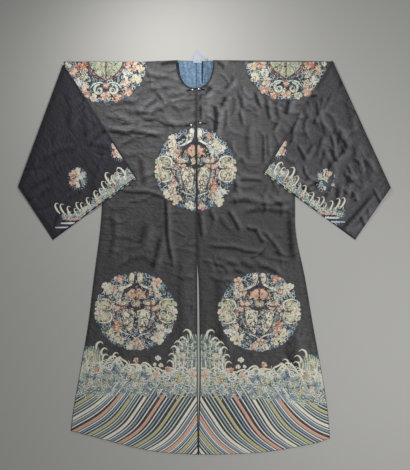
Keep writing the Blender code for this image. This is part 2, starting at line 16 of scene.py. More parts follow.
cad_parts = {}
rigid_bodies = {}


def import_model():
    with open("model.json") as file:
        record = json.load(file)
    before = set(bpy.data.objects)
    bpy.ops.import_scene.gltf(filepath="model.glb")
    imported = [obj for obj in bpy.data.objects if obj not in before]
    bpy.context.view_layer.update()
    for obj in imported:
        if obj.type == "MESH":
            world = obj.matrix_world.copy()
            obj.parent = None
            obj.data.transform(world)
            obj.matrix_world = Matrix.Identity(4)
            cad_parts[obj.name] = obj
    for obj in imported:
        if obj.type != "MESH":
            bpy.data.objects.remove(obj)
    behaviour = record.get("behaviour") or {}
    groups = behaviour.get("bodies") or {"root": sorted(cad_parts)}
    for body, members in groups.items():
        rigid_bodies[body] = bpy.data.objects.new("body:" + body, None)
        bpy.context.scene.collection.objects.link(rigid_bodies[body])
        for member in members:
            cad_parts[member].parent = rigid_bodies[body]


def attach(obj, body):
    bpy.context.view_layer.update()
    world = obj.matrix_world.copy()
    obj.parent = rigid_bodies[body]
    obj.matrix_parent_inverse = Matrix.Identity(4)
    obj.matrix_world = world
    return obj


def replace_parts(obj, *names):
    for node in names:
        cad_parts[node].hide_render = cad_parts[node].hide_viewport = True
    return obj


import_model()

bl_info = {
    "name": "Embroidered surcoat",
    "version": (1, 0, 0),
    "blender": (4, 5, 0),
    "location": "View3D > Sidebar > Surcoat",
    "description": "Builds a laid-out silk surcoat with roundels, waves and striped hem",
    "category": "Add Mesh",
}

MM = 0.001
PANEL_GRID = 3.2
RIM_STEP = 8.0

# Height of the triangles in a sheet's grid for each unit of their width
ROW_SPACING = 0.866

# Heights kept for each layer: distance between them, and how far they reach past its edge
FIELD_STEP = 2.0
FIELD_MARGIN = 12.0
BODY = "root"
FINISH_START = "surcoat_"

# Where the middle of the frame lies on the coat
CENTRE_ACROSS = 25.0
CENTRE_DOWN = 679.5

# Thickness of the cloth, heights of the layers of the laid coat, and how the flaps sink beside them
SKIN = 0.8
BACK_LOW = 0.4
RIM_TOP = 2.3
FRONT_TOP = 3.6
FLAP_BED = 4.1
FLAP_RIM = 2.6
SINK_START = 10.0
SINK_END = 52.0
SINK_FLOOR = 0.15
FLAP_BORDER = 6.0
SEAM_FROM_TIP = 270.0
SEAM_GAP = 0.5
FLAP_ROLL = 3.8

NECK_HALF_WIDTH = 62.0
NECK_CENTRE = -7.0
NECK_DEPTH = 98.0
NECK_SQUARENESS = 0.85
BACK_NECK_DROP = 2.0
OPENING_MIDDLE = -5.2

# Corners as distances outward from the centre and down from the shoulder, left then right
SHOULDER_TIP = ((478, 16), (481, 3))
ELBOW = ((637, 449), (687, 453))
CUFF_LOW = ((513, 637), (559, 637))
CUFF_TOP = ((215, 417), (233, 399))
ARMPIT = ((334, 360), (348, 360))
HEM_CORNER = ((449, 1315), (470, 1340))

# Side edge: down, left across, right across
SIDE_ROWS = (
    (520, 339, 346), (625, 348, 351), (770, 367, 381), (940, 388, 410), (1110, 417, 441), (1230, 438, 460),
)

# Hem: share of the half's width, left rise, right rise
HEM_DEPTH = 1399.0
HEM_ROWS = ((0.0, 0, 0), (0.3, 9, 3), (0.55, 31, 12), (0.75, 55, 28), (0.9, 73, 42))

# Opening: down, left edge, right edge
OPENING_ROWS = (
    (0, -6.0, -5.5), (98, -5.5, -5.0), (400, -3.4, -2.9), (690, -1.4, -0.8), (800, -1.0, 5.0),
    (1000, 0.0, 8.0), (1150, 0.5, 8.0), (1250, 1.5, 5.0), (1330, 2.5, 3.2), (1399, 3.0, 3.5),
)

# Largest folds, as in the solids: layer, start x, start down, end x, end down, reach, height
FOLDS = (
    ("left", -120, 500, -104, 715, 42, 5.0),
    ("left", -305, 262, -140, 282, 40, 5.0),
    ("left", -240, 455, -118, 492, 36, 4.0),
    ("left", -150, 640, -160, 780, 46, 3.5),
    ("left", -200, 60, -110, 76, 34, 3.0),
    ("left", -170, 190, -40, 222, 36, 3.0),
    ("right", 52, 165, 50, 290, 34, 5.0),
    ("right", 118, 540, 150, 616, 34, 5.0),
    ("right", 196, 605, 290, 725, 40, 5.0),
    ("right", 130, 522, 320, 512, 40, 4.0),
    ("right", 205, 120, 228, 215, 34, 3.5),
    ("right", 160, 665, 260, 700, 36, 3.0),
    ("right", 60, 90, 120, 120, 34, 3.0),
)
CREASE_DEPTH = 1.7
# Crease relief at which the painted shade is full
FULL_SHADE_RELIEF = 4.0

# How much of its creases the cloth loses under a roundel
STIFFENING = 0.65

# Painted light: the silk is painted lighter from here up to the shoulders, in metres up the frame
PAINTED_LIGHT_FROM = 0.0
PAINTED_LIGHT_TO = 0.5
BILLOW_HEIGHT = 2.2
BILLOW_ACROSS = 210.0
BILLOW_DOWN = 330.0
EDGE_FLAT = 16.0
EDGE_FULL = 60.0

# Creases placed one by one on each layer: half width, depth, then x and down of each point along it
CREASES = {
    "front_left": (
        (6, 3.4, -115, 488, -112, 548, -108, 637, -91, 726),
        (6, 2.6, -272, 460, -240, 470, -169, 474, -115, 495),
        (7, 3.2, -328, 250, -275, 257, -204, 261, -133, 275), (9, 2.2, -133, 623, -144, 673, -162, 744),
        (7, 2.0, -193, 48, -151, 62, -105, 66), (7, 2.4, -133, 16, -98, 7, -72, 8),
        (6, 2.0, -193, 176, -169, 158, -144, 140), (6, 2.2, -325, 204, -275, 211, -247, 215),
        (6, 2.4, -122, 229, -62, 236, -30, 232), (7, 1.8, -169, 204, -142, 172, -115, 190),
        (8, 1.5, -257, 183, -222, 190, -169, 186), (8, 1.6, -105, 133, -62, 126, -28, 114),
        (10, 1.6, -204, 353, -198, 400, -193, 442), (9, 1.2, -240, 715, -204, 701, -151, 715),
        (7, 1.6, -247, 264, -228, 246, -215, 229), (14, 1.8, -186, 584, -196, 620, -204, 655),
        (6, 1.8, -193, 420, -150, 410), (8, 1.4, -300, 160, -250, 150, -215, 160),
        (8, 1.3, -130, 105, -95, 98, -60, 104), (7, 1.2, -180, 110, -150, 104, -125, 112),
        (9, 1.4, -95, 165, -60, 176, -25, 168), (9, 1.2, -310, 540, -300, 620, -315, 700),
        (16, 0.9, -60, 700, -66, 850, -62, 1010), (20, 0.8, -250, 820, -262, 960, -290, 1100),
        (18, 0.8, -180, 1120, -195, 1230, -210, 1330),
    ),
    "front_right": (
        (5, 2.6, 8, 158, 11, 190, 12, 211), (7, 4.2, 66, 162, 66, 229, 55, 293),
        (8, 2.0, 30, 140, 20, 176, 26, 200), (7, 2.4, 108, 122, 87, 158, 73, 204),
        (7, 1.5, 150, 122, 158, 150, 161, 169), (6, 3.0, 204, 115, 215, 151, 225, 169),
        (6, 3.0, 243, 140, 250, 183, 257, 211), (8, 4.0, 326, 118, 322, 152, 315, 190),
        (5, 2.2, 233, 272, 234, 320, 233, 365), (5, 2.2, 247, 262, 249, 320, 250, 345),
        (6, 2.0, 285, 215, 268, 250), (6, 2.4, 144, 424, 190, 425, 229, 428),
        (9, 2.6, 108, 506, 169, 499, 229, 513, 328, 506), (8, 2.2, 169, 541, 229, 531, 311, 538, 335, 526),
        (6, 3.6, 108, 538, 126, 566, 147, 605), (6, 2.4, 201, 595, 218, 630, 233, 651),
        (6, 2.8, 229, 609, 265, 648, 296, 694), (6, 1.9, 37, 531, 48, 552, 62, 573),
        (7, 1.6, 73, 559, 92, 584, 115, 609), (6, 2.4, 37, 662, 133, 669, 172, 680, 229, 687),
        (8, 2.0, 151, 715, 172, 728, 194, 737), (7, 2.6, 215, 726, 257, 744, 300, 779),
        (6, 3.0, 4, 541, 9, 584, 14, 627), (12, 2.6, 326, 548, 330, 620, 338, 708),
        (9, 1.4, 62, 701, 95, 716, 133, 730), (8, 2.4, 51, 92, 27, 122, 16, 140),
        (7, 2.4, 70, 8, 88, 16, 96, 30), (7, 2.0, 128, 60, 118, 84, 96, 104),
        (9, 1.5, 180, 230, 176, 290, 184, 350), (8, 1.4, 285, 300, 276, 340, 282, 380),
        (18, 1.5, 70, 760, 78, 900, 74, 1040), (20, 1.6, 300, 850, 318, 980, 350, 1110),
        (18, 1.3, 200, 1130, 214, 1240, 232, 1330),
    ),
    "flap_left": (
        (7, 1.5, -321, 247, -355, 272, -389, 308), (8, 1.3, -392, 300, -340, 312, -310, 318),
        (9, 1.1, -560, 360, -500, 330, -440, 318), (9, 1.2, -600, 455, -540, 425, -480, 380),
        (8, 1.0, -420, 200, -400, 245, -405, 290), (8, 1.2, -575, 500, -548, 470, -520, 455),
        (10, 1.0, -470, 120, -455, 180, -470, 240),
    ),
    "flap_right": (
        (6, 2.2, 442, 130, 434, 168, 428, 196), (6, 1.8, 470, 128, 452, 160, 443, 176),
        (6, 2.4, 445, 233, 458, 248, 468, 262), (6, 2.8, 508, 246, 502, 275, 496, 300),
        (7, 2.2, 442, 268, 428, 310, 418, 345), (7, 2.0, 408, 296, 392, 325, 374, 352),
        (7, 1.8, 452, 318, 440, 350, 436, 376), (7, 2.4, 530, 310, 495, 345, 470, 372, 455, 410),
        (7, 2.4, 482, 372, 470, 430, 452, 492), (7, 2.0, 508, 440, 498, 480, 490, 512),
        (7, 2.0, 540, 400, 528, 450, 512, 515), (8, 2.6, 618, 478, 560, 548, 512, 598),
        (8, 2.0, 628, 500, 580, 560, 540, 596), (8, 1.4, 372, 175, 400, 215, 440, 232),
        (8, 1.4, 560, 300, 555, 350, 566, 400), (8, 1.2, 610, 330, 600, 380, 612, 430),
        (7, 1.6, 400, 400, 380, 440, 372, 470), (9, 1.4, 520, 130, 540, 200, 548, 260),
    ),
}

# Roundels: scheme, centre across and down, half width and half height, mirror
ROUNDELS = {
    "chest": ("chest", -7.1, 387.0, 146.0, 155.0, 1.0),
    "lower_left": ("lower", -218.7, 890.0, 148.0, 145.0, 1.0),
    "lower_right": ("lower", 219.4, 891.8, 148.0, 146.0, -1.0),
    "shoulder_left": ("shoulder", -325.0, 5.0, 152.0, 152.0, -1.0),
    "shoulder_right": ("shoulder", 314.0, -2.0, 152.0, 152.0, 1.0),
}


# Embroidery threads, red, green and blue out of 255
THREADS = {
    "cream": (242, 234, 210),
    "white": (250, 249, 242),
    "moss": (205, 200, 160),
    "olive": (196, 188, 124),
    "leaf": (194, 204, 178),
    "mint": (212, 222, 208),
    "coral": (218, 148, 122),
    "salmon": (232, 190, 164),
    "red": (184, 92, 72),
    "rose": (214, 166, 154),
    "brown": (128, 88, 72),
    "sky": (188, 206, 212),
    "blue": (118, 144, 166),
    "slate": (86, 108, 126),
    "navy": (42, 54, 80),
    "teal": (92, 122, 122),
    "mist": (156, 172, 170),
    "plum": (108, 92, 122),
    "ink": (34, 37, 47),
    "ground": (56, 62, 72),
}


def linear(colour):
    """A colour out of 255 as Blender's linear values."""
    shares = [value / 255 for value in colour]
    return tuple(s / 12.92 if s <= 0.04045 else ((s + 0.055) / 1.055) ** 2.4 for s in shares)


THREAD = {name: np.array(linear(colour)) for name, colour in THREADS.items()}


def ramp(low, high, value):
    """Rise smoothly from 0 at low to 1 at high, for arrays too."""
    share = np.clip((np.asarray(value, float) - low) / (high - low), 0.0, 1.0)
    return share * share * (3 - 2 * share)


def as_points(points):
    return np.asarray([tuple(point) for point in points], float)


def straight(start, end, step):
    """Points from start towards end, leaving the end to the next run."""
    start = np.asarray(start, float)
    end = np.asarray(end, float)
    count = max(1, round(float(np.linalg.norm(end - start)) / step))
    shares = np.arange(count)[:, None] / count
    return start + (end - start) * shares


def curve_through(knots, step):
    """Points on a smooth curve through the knots, leaving the last knot to the next run."""
    knots = as_points(knots)
    runs = []
    for index in range(len(knots) - 1):
        start = knots[index]
        end = knots[index + 1]
        before = knots[max(0, index - 1)]
        after = knots[min(len(knots) - 1, index + 2)]
        bend_in = (end - before) / 2 if index else end - start
        bend_out = (after - start) / 2 if index + 2 < len(knots) else end - start
        count = max(1, round(float(np.linalg.norm(end - start)) / step))
        t = np.arange(count)[:, None] / count
        runs.append(
            start * (2 * t**3 - 3 * t**2 + 1)
            + bend_in * (t**3 - 2 * t**2 + t)
            + end * (3 * t**2 - 2 * t**3)
            + bend_out * (t**3 - t**2)
        )
    return np.concatenate(runs)


def closed_loop(points):
    return np.concatenate([points, points[:1]])


def whole_curve(knots, step):
    """Points on a smooth curve through the knots, with the last knot."""
    return np.concatenate([curve_through(knots, step), as_points(knots[-1:])])


def distance_to_line(points, line):
    """The shortest distance of many points from a line of points, and on which side they are."""
    best = np.full(len(points), np.inf)
    side = np.ones(len(points))
    for start, end in zip(line[:-1], line[1:]):
        along = end - start
        away = points - start
        share = np.clip(away @ along / max(float(along @ along), 1e-9), 0.0, 1.0)
        gap = away - share[:, None] * along
        distance = np.hypot(gap[:, 0], gap[:, 1])
        closer = distance < best
        best[closer] = distance[closer]
        cross = along[0] * away[:, 1] - along[1] * away[:, 0]
        side[closer] = np.where(cross[closer] >= 0, 1.0, -1.0)
    return best, side


def inside_loop(points, loop):
    """Which of many points are inside a closed loop."""
    inside = np.zeros(len(points), bool)
    for start, end in zip(loop, np.roll(loop, -1, axis=0)):
        if start[1] == end[1]:
            continue
        spans = (start[1] > points[:, 1]) != (end[1] > points[:, 1])
        cross = start[0] + (points[:, 1] - start[1]) * (end[0] - start[0]) / (end[1] - start[1])
        inside ^= spans & (points[:, 0] < cross)
    return inside


def square_to(along, towards):
    """The direction at right angles to a line, on the side that another direction points to."""
    across = np.array([along[1], -along[0]])
    return -across if across @ np.asarray(towards, float) < 0 else across


def soft_waves(points, seed, wavelength, height):
    """Gentle uneven undulation, the same on every run."""
    rng = np.random.default_rng(seed)
    total = np.zeros(len(points))
    for octave in range(5):
        angle = rng.uniform(0, math.tau)
        length = wavelength / 1.45**octave
        phase = rng.uniform(0, math.tau)
        along = points[:, 0] * math.cos(angle) + points[:, 1] * math.sin(angle)
        bend = np.sin(points @ rng.uniform(-1, 1, 2) / (1.7 * wavelength) * math.tau)
        total += np.sin(along / length * math.tau + phase + 1.5 * bend) / 1.3**octave
    return total * height / 2.2


def strewn_creases():
    """Small wrinkles with a fixed seed, mostly level on the chest and upright on the skirt."""
    rng = np.random.default_rng(7)
    rows = []
    for layer, count, box in STREWN:
        sign = -1 if layer.endswith("left") else 1
        for index in range(count):
            across = sign * rng.uniform(box[0], box[1])
            down = rng.uniform(box[2], box[3])
            length = rng.uniform(28, 95)
            heading = math.radians(rng.normal(box[4], 24))
            bend = rng.uniform(-0.5, 0.5)
            knots = []
            for step in range(4):
                knots += [across, down]
                across += length / 3 * math.cos(heading)
                down += length / 3 * math.sin(heading)
                heading += bend
            rows.append((layer, rng.uniform(3.6, 7.0), rng.uniform(0.35, box[5]), *knots))
    return rows


# Where small wrinkles lie: layer, count, then near and far across, down from and to, heading, depth
STREWN = (
    ("front_left", 95, (8, 330, 10, 480, 8, 1.7)),
    ("front_left", 40, (15, 340, 480, 800, 10, 1.3)),
    ("front_left", 34, (15, 400, 780, 1120, 80, 0.6)),
    ("front_left", 22, (15, 420, 1100, 1370, 75, 0.4)),
    ("front_right", 95, (8, 330, 10, 480, 60, 1.7)),
    ("front_right", 50, (15, 340, 480, 800, 20, 1.6)),
    ("front_right", 34, (15, 400, 780, 1120, 80, 0.9)),
    ("front_right", 22, (15, 420, 1100, 1370, 75, 0.6)),
    ("flap_left", 46, (300, 600, 60, 560, 120, 1.2)),
    ("flap_right", 90, (300, 630, 60, 560, 62, 3.4)),
)


def crease_lines():
    """Each layer's creases: the line, its half width and its depth."""
    lines = {}
    rows = [(layer, *row) for layer, found in CREASES.items() for row in found]
    for layer, width, depth, *numbers in rows + strewn_creases():
        knots = [(x, -down) for x, down in zip(numbers[::2], numbers[1::2])]
        lines.setdefault(layer, []).append((whole_curve(knots, 12.0), width, depth))
    return lines


CREASE_LINES = crease_lines()


def crease_relief(points, layer):
    """The troughs of a layer's creases, each with a softer ridge beside it."""
    total = np.zeros(len(points))
    for line, width, depth in CREASE_LINES[layer]:
        reach = 5.0 * width
        low = line.min(axis=0) - reach
        high = line.max(axis=0) + reach
        near = np.flatnonzero(np.all((points > low) & (points < high), axis=1))
        if not len(near):
            continue
        distance, side = distance_to_line(points[near], line)
        across = distance * side
        span = float(np.linalg.norm(line[-1] - line[0]))
        axis = (line[-1] - line[0]) / span
        along = (points[near] - line[0]) @ axis / span
        taper = ramp(-0.12, 0.18, along) * ramp(-0.12, 0.18, 1 - along)
        trough = -np.exp(-((across / width) ** 2))
        ridge = 0.75 * np.exp(-(((across - 2.0 * width) / (1.5 * width)) ** 2))
        total[near] += CREASE_DEPTH * depth * taper * (trough + ridge)
    return total


def level_at(height):
    """A height that is the same all over a layer."""
    return lambda points: np.full(len(points), height)


class HeightField:
    """Heights of a layer on a close grid, worked out once and read off between its points."""

    def __init__(self, height_at, outline):
        self.low = outline.min(axis=0) - FIELD_MARGIN
        counts = np.ceil((outline.max(axis=0) + FIELD_MARGIN - self.low) / FIELD_STEP).astype(int) + 1
        across = self.low[0] + FIELD_STEP * np.arange(counts[0])
        up = self.low[1] + FIELD_STEP * np.arange(counts[1])
        grid = np.stack(np.meshgrid(across, up, indexing="ij"), axis=-1)
        self.heights = height_at(grid.reshape(-1, 2)).reshape(counts)

    def __call__(self, points):
        last = np.array(self.heights.shape) - 1.001
        place = np.clip((points - self.low) / FIELD_STEP, 0, last)
        cell = place.astype(int)
        x, y = (place - cell).T
        i, j = cell.T
        near = self.heights[i, j] * (1 - y) + self.heights[i, j + 1] * y
        far = self.heights[i + 1, j] * (1 - y) + self.heights[i + 1, j + 1] * y
        return near * (1 - x) + far * x


class Half:
    """One half of the coat: its plan, its folds, and the height of its layers."""

    def __init__(self, name):
        self.name = name
        self.index = 0 if name == "left" else 1
        self.side = -1.0 if name == "left" else 1.0
        self.armpit = self.corner(ARMPIT)
        self.cuff_low = self.corner(CUFF_LOW)
        self.cuff_top = self.corner(CUFF_TOP)
        self.hem_corner = self.corner(HEM_CORNER)
        self.lay_fold_line()
        self.lay_seam()
        self.flap = np.array([self.tip, self.elbow, self.cuff_low, self.cuff_top])
        self.lay_edges()

    def corner(self, pair):
        across, down = pair[self.index]
        return np.array([self.side * across, -down], float)

    def lay_fold_line(self):
        tip = self.corner(SHOULDER_TIP)
        elbow = self.corner(ELBOW)
        along = (elbow - tip) / np.linalg.norm(elbow - tip)
        inward = square_to(along, (-self.side, 0.0))
        self.fold_out = -inward
        self.tip = tip + inward * FLAP_ROLL
        self.elbow = elbow + inward * FLAP_ROLL

    def lay_seam(self):
        top_edge = self.cuff_top - self.tip
        length = np.linalg.norm(top_edge)
        self.along = top_edge / length
        self.top_out = square_to(self.along, (-self.side, 0.0))
        self.seam_high = self.tip + self.along * SEAM_FROM_TIP
        cuff = self.cuff_low - self.cuff_top
        under = self.elbow - self.cuff_low
        left = self.seam_high - self.cuff_low
        cross = cuff[0] * under[1] - cuff[1] * under[0]
        reach = (cuff[0] * left[1] - cuff[1] * left[0]) / cross
        self.seam_low = self.cuff_low + under * min(reach, 0.93)
        self.cuff_along = cuff / np.linalg.norm(cuff)

    def lay_edges(self):
        edge = 1 + self.index
        self.opening = as_points([(row[edge], -row[0]) for row in OPENING_ROWS])
        rows = [(self.side * row[edge], -row[0]) for row in SIDE_ROWS]
        self.side_knots = as_points([self.hem_corner] + rows[::-1] + [self.armpit])
        start = self.opening[-1][0]
        width = self.hem_corner[0] - start
        hem = [(start + width * row[0], row[edge] - HEM_DEPTH) for row in HEM_ROWS]
        self.hem_knots = as_points(hem + [tuple(self.hem_corner)])
        self.hem_line = whole_curve(self.hem_knots, 5.0)
        self.side_line = whole_curve(self.side_knots, 5.0)
        self.opening_line = whole_curve(self.opening, 5.0)
        lower_side = self.side_knots[-3]
        under = self.elbow - self.armpit
        self.under_out = square_to(under, (0.0, -1.0)) / np.linalg.norm(under)
        side_edge = lower_side - self.armpit
        self.side_out = square_to(side_edge, (self.side, 0.0)) / np.linalg.norm(side_edge)
        runs = self.panel_runs(True, 12.0)
        self.rim = closed_loop(np.concatenate([points for name, points in runs]))
        self.front_top = HeightField(self.front_height, self.rim)
        self.flap_top = HeightField(self.flap_height, self.flap)

    def neck_point(self, turn):
        angle = turn * math.pi / 2
        across = math.cos(angle) ** NECK_SQUARENESS if turn < 1 else 0.0
        down = math.sin(angle) ** NECK_SQUARENESS
        x = NECK_CENTRE + self.side * NECK_HALF_WIDTH * across
        if turn >= 1:
            x = float(np.interp(NECK_DEPTH, -self.opening[:, 1], self.opening[:, 0]))
        return np.array([x, -NECK_DEPTH * down])

    def panel_runs(self, has_neck, step):
        """The outline of the panel's lower layers as named runs, in order round it."""
        neck_corner = self.neck_point(0)
        shoulder = straight(self.tip, neck_corner, step)
        if has_neck:
            neck = as_points([self.neck_point(turn / 18) for turn in range(18)])
            centre = self.opening[self.opening[:, 1] <= -NECK_DEPTH]
        else:
            centre = self.opening.copy()
            centre[0, 1] = -BACK_NECK_DROP
            neck = straight(neck_corner, centre[0], step)
        return [
            ("shoulder", shoulder),
            ("neck", neck),
            ("centre", curve_through(centre, step)),
            ("hem", curve_through(self.hem_knots, step)),
            ("side", curve_through(self.side_knots, step)),
            ("underarm", straight(self.armpit, self.elbow, step)),
            ("sleeve_fold", straight(self.elbow, self.tip, step)),
        ]

    def flap_runs(self, step):
        back = self.along * SEAM_GAP / 2
        return [
            ("sleeve_fold", straight(self.tip, self.elbow, step)),
            ("underarm", straight(self.elbow, self.seam_low - back, step)),
            ("seam", straight(self.seam_low - back, self.seam_high - back, step)),
            ("top_fold", straight(self.seam_high - back, self.tip, step)),
        ]

    def sleeve_runs(self, step):
        on = self.along * SEAM_GAP / 2
        return [
            ("top_fold", straight(self.seam_high + on, self.cuff_top, step)),
            ("cuff", straight(self.cuff_top, self.cuff_low, step)),
            ("underarm", straight(self.cuff_low, self.seam_low + on, step)),
            ("seam", straight(self.seam_low + on, self.seam_high + on, step)),
        ]

    def front_height(self, points):
        """Height of the front's outer face."""
        edge = distance_to_line(points, self.rim)[0]
        border = distance_to_line(points, closed_loop(self.flap))[0]
        covered = inside_loop(points, self.flap)
        share = ramp(EDGE_FLAT, EDGE_FULL, edge)
        share *= np.where(covered, 0.0, ramp(FLAP_BORDER, FLAP_BORDER + 40.0, border))
        wave = np.sin(points[:, 0] / BILLOW_ACROSS * math.tau + 0.6)
        wave *= np.cos(points[:, 1] / BILLOW_DOWN * math.tau)
        height = BILLOW_HEIGHT * (0.6 + 0.4 * wave)
        for side, start_x, start_down, end_x, end_down, reach, rise in FOLDS:
            if side == self.name:
                line = as_points([(start_x, -start_down), (end_x, -end_down)])
                away = distance_to_line(points, line)[0]
                height = height + rise * (1 - ramp(0.0, 1.15 * reach, away))
        height = height * share
        near_edge = ramp(3.0, 16.0, edge)
        clear = np.where(covered, 0.0, ramp(2.0, 14.0, border)) * near_edge
        fine = crease_relief(points, "front_" + self.name)
        fine += soft_waves(points, 5 + self.index, 95.0, 0.5)
        fine += soft_waves(points, 15 + self.index, 34.0, 0.16)
        fine *= 1 - STIFFENING * self.stiffened(points)
        top = RIM_TOP + (FRONT_TOP - RIM_TOP) * ramp(0.0, 18.0, edge) + height + fine * clear
        return np.maximum(top, RIM_TOP)

    def painted_shade_share(self, points):
        """Painted shade and highlight: how far each point lies in a trough or near an edge, down to -1,
        painted darker, or on a ridge, up to 1, painted lighter.
        """
        plan = points[:, :2]
        on_flap = inside_loop(plan, self.flap) & (points[:, 2] > self.flap_low(plan) + FLAP_RIM - 0.3)
        on_front = ~on_flap & (points[:, 2] > RIM_TOP - 0.1)
        share = np.zeros(len(points))
        shade_layers = ((on_front, "front_", self.rim, 14.0), (on_flap, "flap_", closed_loop(self.flap), 20.0))
        for chosen, layer, rim, reach in shade_layers:
            near = plan[chosen]
            edge = distance_to_line(near, rim)[0]
            relief = crease_relief(near, layer + self.name) / FULL_SHADE_RELIEF
            if layer == "front_":
                relief *= 1 - STIFFENING * self.stiffened(near)
            # Painted shade: darker near the layer's rim, besides the troughs and ridges of its creases
            share[chosen] = relief - 0.55 * (1 - ramp(0.0, reach, edge))
        return np.clip(share, -1.0, 1.0)

    def stiffened(self, points):
        """Where the embroidery holds the cloth flatter: 1 on the roundels, 0 away from them."""
        share = np.zeros(len(points))
        for scheme, across, down, width, height, mirror in ROUNDELS.values():
            away = np.hypot((points[:, 0] - across) / width, (points[:, 1] + down) / height)
            share = np.maximum(share, 1 - ramp(0.9, 1.08, away))
        return share

    def flap_under(self, points):
        """Height of the inner face of the flap's upper layer, which nothing shows."""
        return self.flap_low(points) + FLAP_RIM - SKIN

    def flap_low(self, points):
        """Height of the flap's underside, sinking beside the layers that it lies on."""
        from_armpit = points - self.armpit
        past = np.minimum(from_armpit @ self.under_out, from_armpit @ self.side_out)
        return SINK_FLOOR + (FLAP_BED - SINK_FLOOR) * (1 - ramp(SINK_START, SINK_END, past))

    def flap_height(self, points):
        """Height of the flap's upper face, a little full between its edges."""
        loop = closed_loop(self.flap)
        edge = distance_to_line(points, loop)[0]
        fold = distance_to_line(points, self.flap[:2])[0]
        cuff = distance_to_line(points, self.flap[2:])[0]
        full = 2.2 * ramp(0.0, 26.0, edge) + 2.2 * ramp(0.0, 60.0, fold) * ramp(0.0, 150.0, cuff)
        fine = crease_relief(points, "flap_" + self.name)
        fine += soft_waves(points, 25 + self.index, 110.0, 0.8)
        fine += soft_waves(points, 35 + self.index, 40.0, 0.2)
        return self.flap_low(points) + FLAP_RIM + np.maximum(full + fine * ramp(3.0, 18.0, edge), -0.2)

    def side_x(self, y):
        """Where the side edge is at a height on the coat."""
        line = self.side_line
        return np.interp(y, line[:, 1], line[:, 0])

    def opening_x(self, y):
        line = self.opening_line[::-1]
        return np.interp(y, line[:, 1], line[:, 0])

    def hem_y(self, share):
        line = self.hem_line
        shares = (line[:, 0] - line[0, 0]) / (line[-1, 0] - line[0, 0])
        return np.interp(share, shares, line[:, 1])


HALVES = {"left": Half("left"), "right": Half("right")}


def lay_coordinates(mesh, name, places):
    """A UV map in metres from each point's place in millimetres."""
    layer = mesh.uv_layers.new(name=name)
    corner_points = np.empty(len(mesh.loops), int)
    mesh.loops.foreach_get("vertex_index", corner_points)
    layer.data.foreach_set("uv", (places * MM)[corner_points].ravel())


class ClothMesh:
    """Points, faces, finishes and cloth coordinates of a shell while it is put together."""

    def __init__(self):
        self.points = []
        self.cloth = []
        self.faces = []
        self.finish = []
        self.count = 0

    def add_points(self, points, heights, cloth):
        first = self.count
        self.points.append(np.column_stack([points, heights]))
        self.cloth.append(cloth)
        self.count += len(points)
        return np.arange(first, self.count)

    def add_faces(self, faces, finish):
        self.faces.extend(faces)
        self.finish.extend([finish] * len(faces))

    def all_points(self):
        return np.concatenate(self.points)

    def to_object(self, name, finishes, slot, painted_shade_share=None):
        points = self.all_points()
        mesh = bpy.data.meshes.new(name)
        mesh.from_pydata(to_frame(points).tolist(), [], self.faces)
        mesh.polygons.foreach_set("material_index", self.finish)
        lay_coordinates(mesh, "Cloth", np.concatenate(self.cloth))
        # The Fold attribute holds painted shade of creases and rims, and painted highlight on ridges
        if painted_shade_share:
            folds = mesh.attributes.new("Fold", "FLOAT", "POINT")
            folds.data.foreach_set("value", painted_shade_share(points))
        tidy_normals(mesh)
        return finished_piece(mesh, name, [finish(label) for label in finishes], 50)


def to_frame(points):
    """Coat millimetres to the frame's metres."""
    placed = np.array(points, float)
    placed[:, 0] -= CENTRE_ACROSS
    placed[:, 1] += CENTRE_DOWN
    return placed * MM


def tidy_normals(mesh):
    """Turn every closed body's faces outwards."""
    shape = bmesh.new()
    shape.from_mesh(mesh)
    bmesh.ops.recalc_face_normals(shape, faces=shape.faces)
    shape.to_mesh(mesh)
    shape.free()


def fill_sheet(rim, grid):
    """Points inside a rim on a staggered grid, and the triangles over rim and grid."""
    closed = closed_loop(rim)
    low = rim.min(axis=0)
    high = rim.max(axis=0)
    rows = np.arange(int((high[1] - low[1]) / (grid * ROW_SPACING)) + 1)
    columns = np.arange(int((high[0] - low[0]) / grid) + 2)
    across, up = np.meshgrid(columns, rows)
    shift = (up % 2) * 0.5
    places = ((low[0] + (across - shift) * grid).ravel(), (low[1] + up * grid * ROW_SPACING).ravel())
    candidates = np.column_stack(places)
    candidates = candidates[inside_loop(candidates, rim)]
    clear = distance_to_line(candidates, closed)[0] > 0.5 * grid
    points = np.concatenate([rim, candidates[clear]])
    flat = delaunay_2d_cdt([Vector(point) for point in points], [], [list(range(len(rim)))], 1, 1e-4)
    places = {}
    for index, sources in enumerate(flat[3]):
        for source in sources:
            places[source] = index
    return as_points(flat[0]), flat[2], [places[index] for index in range(len(rim))]


class Layer:
    """One layer of cloth: an outer and an inner face joined round the rim."""

    def __init__(self, mesh, runs, top, low, cloth, finishes, grids, open_runs=()):
        self.mesh = mesh
        self.runs = {}
        rim = np.concatenate([points for name, points in runs])
        self.upper = self.face(rim, top, cloth, finishes[0], grids[0], False)
        self.lower = self.face(rim, low, cloth, finishes[1], grids[1], True)
        start = 0
        for name, points in runs:
            end = start + len(points)
            self.runs[name] = [index % len(rim) for index in range(start, end + 1)]
            start = end
        for name, places in self.runs.items():
            if name in open_runs:
                continue
            faces = []
            for first, second in zip(places, places[1:]):
                faces.append(
                    (self.lower[first], self.lower[second], self.upper[second], self.upper[first])
                )
            mesh.add_faces(faces, finishes[0])

    def face(self, rim, height, cloth, finish, grid, facing_down):
        points, triangles, places = fill_sheet(rim, grid)
        indices = self.mesh.add_points(points, height(points), cloth(points))
        order = -1 if facing_down else 1
        faces = [tuple(int(indices[corner]) for corner in triangle[::order]) for triangle in triangles]
        self.mesh.add_faces(faces, finish)
        return [int(indices[place]) for place in places]

    def edge(self, name, backwards=False):
        places = self.runs[name][::-1] if backwards else self.runs[name]
        return [self.lower[place] for place in places], [self.upper[place] for place in places]


